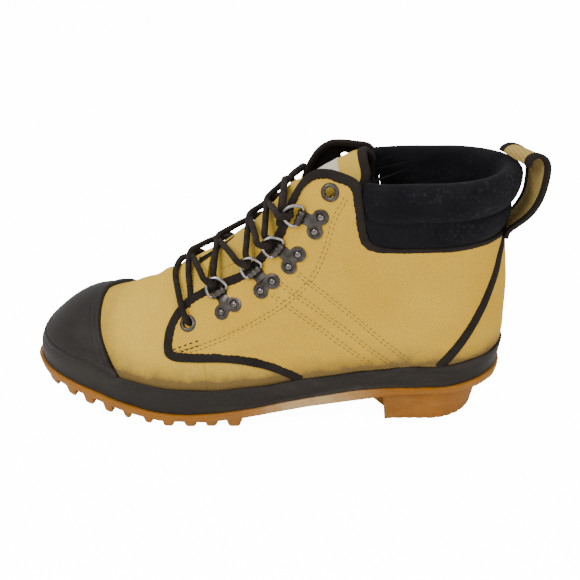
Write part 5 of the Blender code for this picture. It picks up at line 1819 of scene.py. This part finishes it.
@dataclass
class Hardware(Part):
    """Riveted clips with D-rings, and the eyelets."""

    def placed(self, work: bmesh.types.BMesh, frame: Matrix) -> bmesh.types.BMesh:
        """A copy of a shape moved to its frame."""
        copy = work.copy()
        bmesh.ops.transform(copy, matrix=frame, verts=copy.verts)
        return copy

    def plate(self) -> bmesh.types.BMesh:
        """The clip's plate: two lobes and a neck that rolls into the barrel."""
        lobe = [
            (LOBE * math.cos(math.radians(a)), RIVET_SPREAD + LOBE * math.sin(math.radians(a)))
            for a in range(-5, 236, 15)
        ]
        neck = [(6.0, 3.9), (BARREL_X - 0.6, 4.1)]
        half = neck[::-1] + lobe + [(-2.3, 0.0)]
        outline = half + [(x, -y) for x, y in reversed(half[:-1])]
        work = bmesh.new()
        face = work.faces.new([work.verts.new((x * MM, y * MM, 0.35 * MM)) for x, y in outline])
        risen = bmesh.ops.extrude_face_region(work, geom=[face])
        verts = [item for item in risen["geom"] if isinstance(item, bmesh.types.BMVert)]
        bmesh.ops.translate(work, vec=(0, 0, 1.1 * MM), verts=verts)
        bmesh.ops.recalc_face_normals(work, faces=work.faces)
        rim = [edge for edge in work.edges if abs(edge.verts[0].co.z - edge.verts[1].co.z) < 1e-7]
        bmesh.ops.bevel(work, geom=rim, offset=0.28 * MM, segments=2, profile=0.5, affect="EDGES", material=-1)
        return work

    def barrel(self) -> bmesh.types.BMesh:
        """The rolled end that holds the ring's bar, with three raised ribs."""
        half = BARREL_LENGTH / 2
        at = np.linspace(-half, half, 41)
        size = 2.1 + 0.45 * np.clip(np.cos(at / half * 3 * np.pi) * 1.6, 0, 1)
        profile = [(1.4, -half)] + list(zip(size, at)) + [(1.4, half), (1.4, -half)]
        work = self.shop.spun(profile, 20)
        lying = Matrix.Translation(Vector((BARREL_X, 0, BARREL_Z)) * MM) @ Matrix.Rotation(math.pi / 2, 4, "X")
        bmesh.ops.transform(work, matrix=lying, verts=work.verts)
        return work

    def rivet(self) -> bmesh.types.BMesh:
        """A domed rivet head."""
        return self.shop.spun(
            [(0.0, 3.0), (0.7, 2.95), (1.4, 2.75), (1.95, 2.35), (2.2, 1.9), (2.3, 1.65), (2.3, 1.2), (0.0, 1.2)], 24,
        )

    def collar_ring(self) -> bmesh.types.BMesh:
        """The rim pressed round a rivet's dome."""
        profile = [(2.35, 1.2), (2.4, 1.75), (2.75, 2.05), (3.1, 1.95), (3.3, 1.6), (3.35, 1.2), (2.35, 1.2)]
        return self.shop.spun(profile, 24)

    def ring_line(self) -> Array:
        """The D-ring's closed line in the clip's frame."""
        reach, height = RING_APEX
        half = [
            (BARREL_X, 0.0), (BARREL_X, 3.6), (BARREL_X, 5.3), (BARREL_X + 0.9, RING_HALF), (15.5, 6.2),
            (18.7, 4.2), (reach - 0.2, 1.9), (reach, 0.0),
        ]
        rise = (height - BARREL_Z) / (reach - BARREL_X)
        line = half + [(x, -y) for x, y in reversed(half[1:-1])] + half[:1]
        return smooth_path([(x, y, BARREL_Z + rise * (x - BARREL_X)) for x, y in line], 0.6)

    def ring(self) -> bmesh.types.BMesh:
        """The D-ring's wire, closed on itself."""
        line = self.ring_line()
        count = len(line) - 1
        run = unit(np.roll(line[:-1], -1, axis=0) - np.roll(line[:-1], 1, axis=0))
        up = np.tile((-0.28, 0.0, 0.96), (count, 1))
        beside = unit(np.cross(run, up))
        over = np.cross(beside, run)

        def place(u: Array, v: Array) -> Array:
            """Circles round the wire's line."""
            row = np.round(v * count).astype(int) % count
            angle = 2 * np.pi * u
            ring = line[row] + np.cos(angle)[..., None] * beside[row] + np.sin(angle)[..., None] * over[row]
            return ring + self.last.shift

        return self.shop.grid(12, count, place, join=True)

    def make(self) -> None:
        """All clips, rings and eyelets."""
        plate, barrel = self.plate(), self.barrel()
        rivet, rim, ring = self.rivet(), self.collar_ring(), self.ring()
        eyelet = self.shop.spun([
            (3.0, -1.6), (3.0, 1.1), (3.15, 1.5), (3.6, 1.75), (4.3, 1.7), (5.0, 1.35), (5.45, 0.8), (5.55, 0.3),
            (5.2, 0.25), (3.6, 0.5), (3.3, 0.2), (3.3, -1.6), (3.0, -1.6),
        ], 36)
        last = self.last
        for side in Side:
            for number, (x, z, heading) in enumerate(CLIPS, 1):
                frame = resting(last, side.value, x, z, math.radians(heading))
                word = f"{side.word}_{number}"
                self.shop.piece(
                    f"plate_{word}", joined([self.placed(plate, frame), self.placed(barrel, frame)]),
                    (Finishes.GUNMETAL,), "dark_steel", [f"clip_{word}"], sharp=50.0,
                )
                heads, rims = [], []
                for y in (-RIVET_SPREAD, RIVET_SPREAD):
                    at = frame @ Matrix.Translation((0, y * MM, 0))
                    heads.append(self.placed(rivet, at))
                    rims.append(self.placed(rim, at))
                self.shop.piece(f"rivets_{word}", joined(heads), (Finishes.RIVET,), "dark_steel", sharp=60.0)
                self.shop.piece(f"rivet_rims_{word}", joined(rims), (Finishes.GUNMETAL,), "dark_steel", sharp=60.0)
                wire = joined([self.placed(ring, frame)])
                self.shop.piece(f"dring_{word}", wire, (Finishes.STEEL,), "ring_steel", [f"ring_{word}"])
            for word, (x, z) in zip(("low", "top"), EYELETS):
                frame = resting(last, side.value, x, z, math.radians(45), 2.5, 4.0)
                frame.translation += frame.col[2].to_3d() * 0.5 * MM
                self.shop.piece(
                    f"grommet_{side.word}_{word}", joined([self.placed(eyelet, frame)]), (Finishes.GUNMETAL,),
                    "dark_steel", [f"eyelet_{side.word}_{word}"], sharp=60.0,
                )
        for shape in (plate, barrel, rivet, rim, ring, eyelet):
            shape.free()


@dataclass
class Lacing(Part):
    """The lace: a bar between the lowest eyelets and two runs that cross up the throat."""

    width: float = 4.0
    high: float = 5.6
    low: float = 3.0

    CROSSINGS = (193.5, 174.0, 151.5, 139.0, 127.0)
    EDGE_START, EYE_START = (188.0, 83.5), (187.5, 78.5)  # where a run leaves the quarter's edge, and its start
    TUCK = ((124.5, 134.5, 1.6), (121.5, 139.5, -1.0))  # where it ends under the ear
    BAR_X = 202.0
    # The bar's way up from an eyelet: ahead of it, above it, and over the form
    BAR_ROUTE = ((-1.5, 1.0, -1.5), (-0.5, 0.5, 2.2), (0.5, 3.0, 5.2), (2.5, 7.0, 5.8), (6.5, 13.0, 4.6))

    def flank(self, side: float, near: Array, ridge_x: float, share_of: float, lift: float) -> Array:
        """A point part of the way from a point near a ring to one on the ridge, over the form."""
        last = self.last
        level = float(last.level_of(side, last.share_at(near[0]), near[2]))
        share = last.share_at(near[0] + (ridge_x - near[0]) * share_of)
        return last.skin(side, share, level + (5 - level) * share_of, lift)

    @staticmethod
    def span(start: Array, end: Array, side: float, rise: float = 1.4) -> list[Array]:
        """Points of a taut strand between two places, bowed a little over the tongue."""
        bow = rise * np.array([0.0, 0.45 * side, 0.9])
        return [start + (end - start) * t + bow * math.sin(math.pi * t) for t in (0.25, 0.5, 0.75)]

    def turn(self, side: float, number: int) -> list[Array]:
        """The lace's turn round a ring: over its apex, through it and back under it."""
        x, z, heading = CLIPS[number]
        frame = resting(self.last, side, x, z, math.radians(heading))
        reach, height = RING_APEX
        local = (
            (reach + 1.6, 2.0 * side, height + 3.6), (reach - 1.0, 1.2 * side, height + 3.4),
            (reach - 4.2, 0.0, height - 0.2), (reach - 0.4, -1.3 * side, height - 3.4),
            (reach + 1.8, -2.0 * side, height - 2.6),
        )
        return [np.array(frame @ (Vector(p) * MM)) / MM + self.last.shift for p in local]

    def run(self, side: float) -> Array:
        """One run, from under the quarter's edge on one side up to the ears."""
        last = self.last
        edge = last.spot(side, *self.EDGE_START)
        line = [last.spot(side, *self.EYE_START, 0.2)]
        line += [self.flank(side, edge, 190.0, 0.1, 1.0), self.flank(side, edge, 192.0, 0.5, 3.4)]
        for number, x in enumerate(self.CROSSINGS):
            height = self.high if (number % 2 == 0) == (side > 0) else self.low
            start = side if number % 2 == 0 else -side
            line.append(last.ridge(x, height))
            if number < len(CLIPS):
                turn = self.turn(-start, number)
                line += self.span(line[-1], turn[0], -start)
                line += turn
                later = self.low if height == self.high else self.high
                line += self.span(turn[-1], last.ridge(self.CROSSINGS[number + 1], later), -start)
        end = -side if (len(self.CROSSINGS) - 1) % 2 == 0 else side
        tuck, tip = (last.spot(end, *place) for place in self.TUCK)
        line += self.span(line[-1], tuck, end, 2.4) + [tuck, tip]
        return smooth_path(line, 0.9)

    def bar(self) -> Array:
        """The bar, out of one lowest eyelet and into the other."""
        last = self.last
        line = []
        for side in Side:
            x, z = EYELETS[0]
            s = side.value
            half = [last.spot(s, x + ahead, z + up, lift) for ahead, up, lift in self.BAR_ROUTE]
            half.append(self.flank(s, last.spot(s, self.BAR_X - 3, z + 16), self.BAR_X, 0.45, 3.2))
            line += half if side is Side.OUTER else [last.ridge(self.BAR_X, 2.6)] + half[::-1]
        return smooth_path(line, 0.9)

    def make(self) -> None:
        """The bar and both runs."""
        routes = {"toe_bar": (self.bar(), ["lace_bar"])}
        routes |= {f"run_{s.word}": (self.run(s.value), ["lace"] if s is Side.OUTER else []) for s in Side}
        for word, (line, nodes) in routes.items():
            cord = self.shop.cord(line, self.width / 2)
            self.shop.piece(f"lace_{word}", cord, (Finishes.LACE,), "lace", nodes)


# ---------------------------------------------------------------- studio


@dataclass
class Studio:
    """The floor, the lights and the camera."""

    last: Last
    azimuth: float = -13.04
    elevation: float = 27.11
    roll: float = 5.14
    distance: float = 615.0
    aside: float = -20.41
    rise: float = 4.43
    lens: float = 58.87
    LAMPS = (  # name, place in metres, size and power
        ("key", (0.5, 0.9, 1.1), 0.7, 14.0), ("fill", (-0.9, 0.8, 0.6), 1.0, 6.0), ("top", (0.1, -0.3, 1.4), 1.0, 8.0),
    )
    glow: float = 14.0  # how much brighter the paper and the room look to the camera alone

    def camera(self) -> None:
        """The camera, high on the outer side."""
        a, e, r = (math.radians(angle) for angle in (self.azimuth, self.elevation, self.roll))
        back = Vector((math.sin(a) * math.cos(e), math.cos(a) * math.cos(e), math.sin(e)))
        right = Vector((-math.cos(a), math.sin(a), 0.0))
        up = back.cross(right)
        right, up = math.cos(r) * right - math.sin(r) * up, math.sin(r) * right + math.cos(r) * up
        spot = Vector((150.0, 0.0, 80.0)) - self.aside * right - self.rise * up + self.distance * back
        data = bpy.data.cameras.new("camera")
        data.lens, data.sensor_width = self.lens, 36.0
        data.clip_start, data.clip_end = 0.02, 20.0
        made = linked("camera", data)
        made.matrix_world = Matrix((right, up, back)).transposed().to_4x4()
        made.location = Vector(self.last.to_world(np.array(spot)))
        bpy.context.scene.camera = made

    def lamp(self, name: str, place: tuple[float, float, float], size: float, power: float) -> None:
        """A soft light aimed at the boot."""
        data = bpy.data.lights.new(name, "AREA")
        data.shape, data.size, data.energy = "DISK", size, power
        made = linked(name, data)
        made.location = place
        made.rotation_euler = (Vector((0, 0, 0.07)) - Vector(place)).to_track_quat("-Z", "Y").to_euler()

    def build(self) -> None:
        """The floor, the world, the lamps and the camera."""
        work = bmesh.new()
        bmesh.ops.create_grid(work, x_segments=4, y_segments=4, size=8.0)
        mesh = bpy.data.meshes.new("floor")
        work.to_mesh(mesh)
        work.free()
        floor = linked("floor", mesh)
        paper = bpy.data.materials.new("paper")
        paper.use_nodes = True
        build = Nodes(paper.node_tree)
        shader = paper.node_tree.nodes["Principled BSDF"]
        shader.inputs["Roughness"].default_value = 0.9
        where = build.spots()
        tone = build.spread(build.noise(where, 3.0, 2.0), 0.3, 0.7)
        build.feed(shader.inputs["Base Color"], build.mix(tone, (0.88, 0.88, 0.88), (0.91, 0.91, 0.91)))
        seen = build.add("ShaderNodeLightPath").outputs["Is Camera Ray"]
        build.feed(shader.inputs["Emission Color"], (1.0, 1.0, 1.0))
        build.feed(shader.inputs["Emission Strength"], build.times(seen, self.glow))
        mesh.materials.append(paper)
        world = bpy.context.scene.world or bpy.data.worlds.new("world")
        bpy.context.scene.world = world
        world.use_nodes = True
        sky = Nodes(world.node_tree)
        plain = world.node_tree.nodes["Background"]
        plain.inputs[0].default_value = (1.0, 1.0, 1.0, 1.0)
        straight = sky.add("ShaderNodeLightPath").outputs["Is Camera Ray"]
        sky.feed(plain.inputs[1], sky.maths("MULTIPLY_ADD", straight, self.glow, 0.9))
        for lamp in self.LAMPS:
            self.lamp(*lamp)
        self.camera()


def corners(box: tuple[Vector, Vector]) -> list[list[float]]:
    """A box as plain lists."""
    return [list(map(float, corner)) for corner in box]


def main() -> None:
    """Build every piece round the frame."""
    logging.basicConfig(level=logging.INFO, format="%(name)s %(message)s")
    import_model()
    last = Last()
    Studio(last).build()
    shop = Workshop(last)
    Lacing(shop).make()
    quarters = [Quarter(shop, side) for side in Side]
    tongue, sole = Tongue(shop), Outsole(shop)
    for quarter in quarters:
        for make in (quarter.make, quarter.bind, quarter.tape, quarter.stitch):
            make()
    Vamp(shop).make()
    for make in (tongue.make, tongue.bind, tongue.label):
        make()
    Foxing(shop).make()
    ToeCap(shop).make()
    for make in (sole.plate, sole.heel, sole.cleats):
        make()
    for part in (Insole(shop), Collar(shop), PullLoop(shop), Hardware(shop)):
        part.make()


if __name__ == "__main__":
    main()
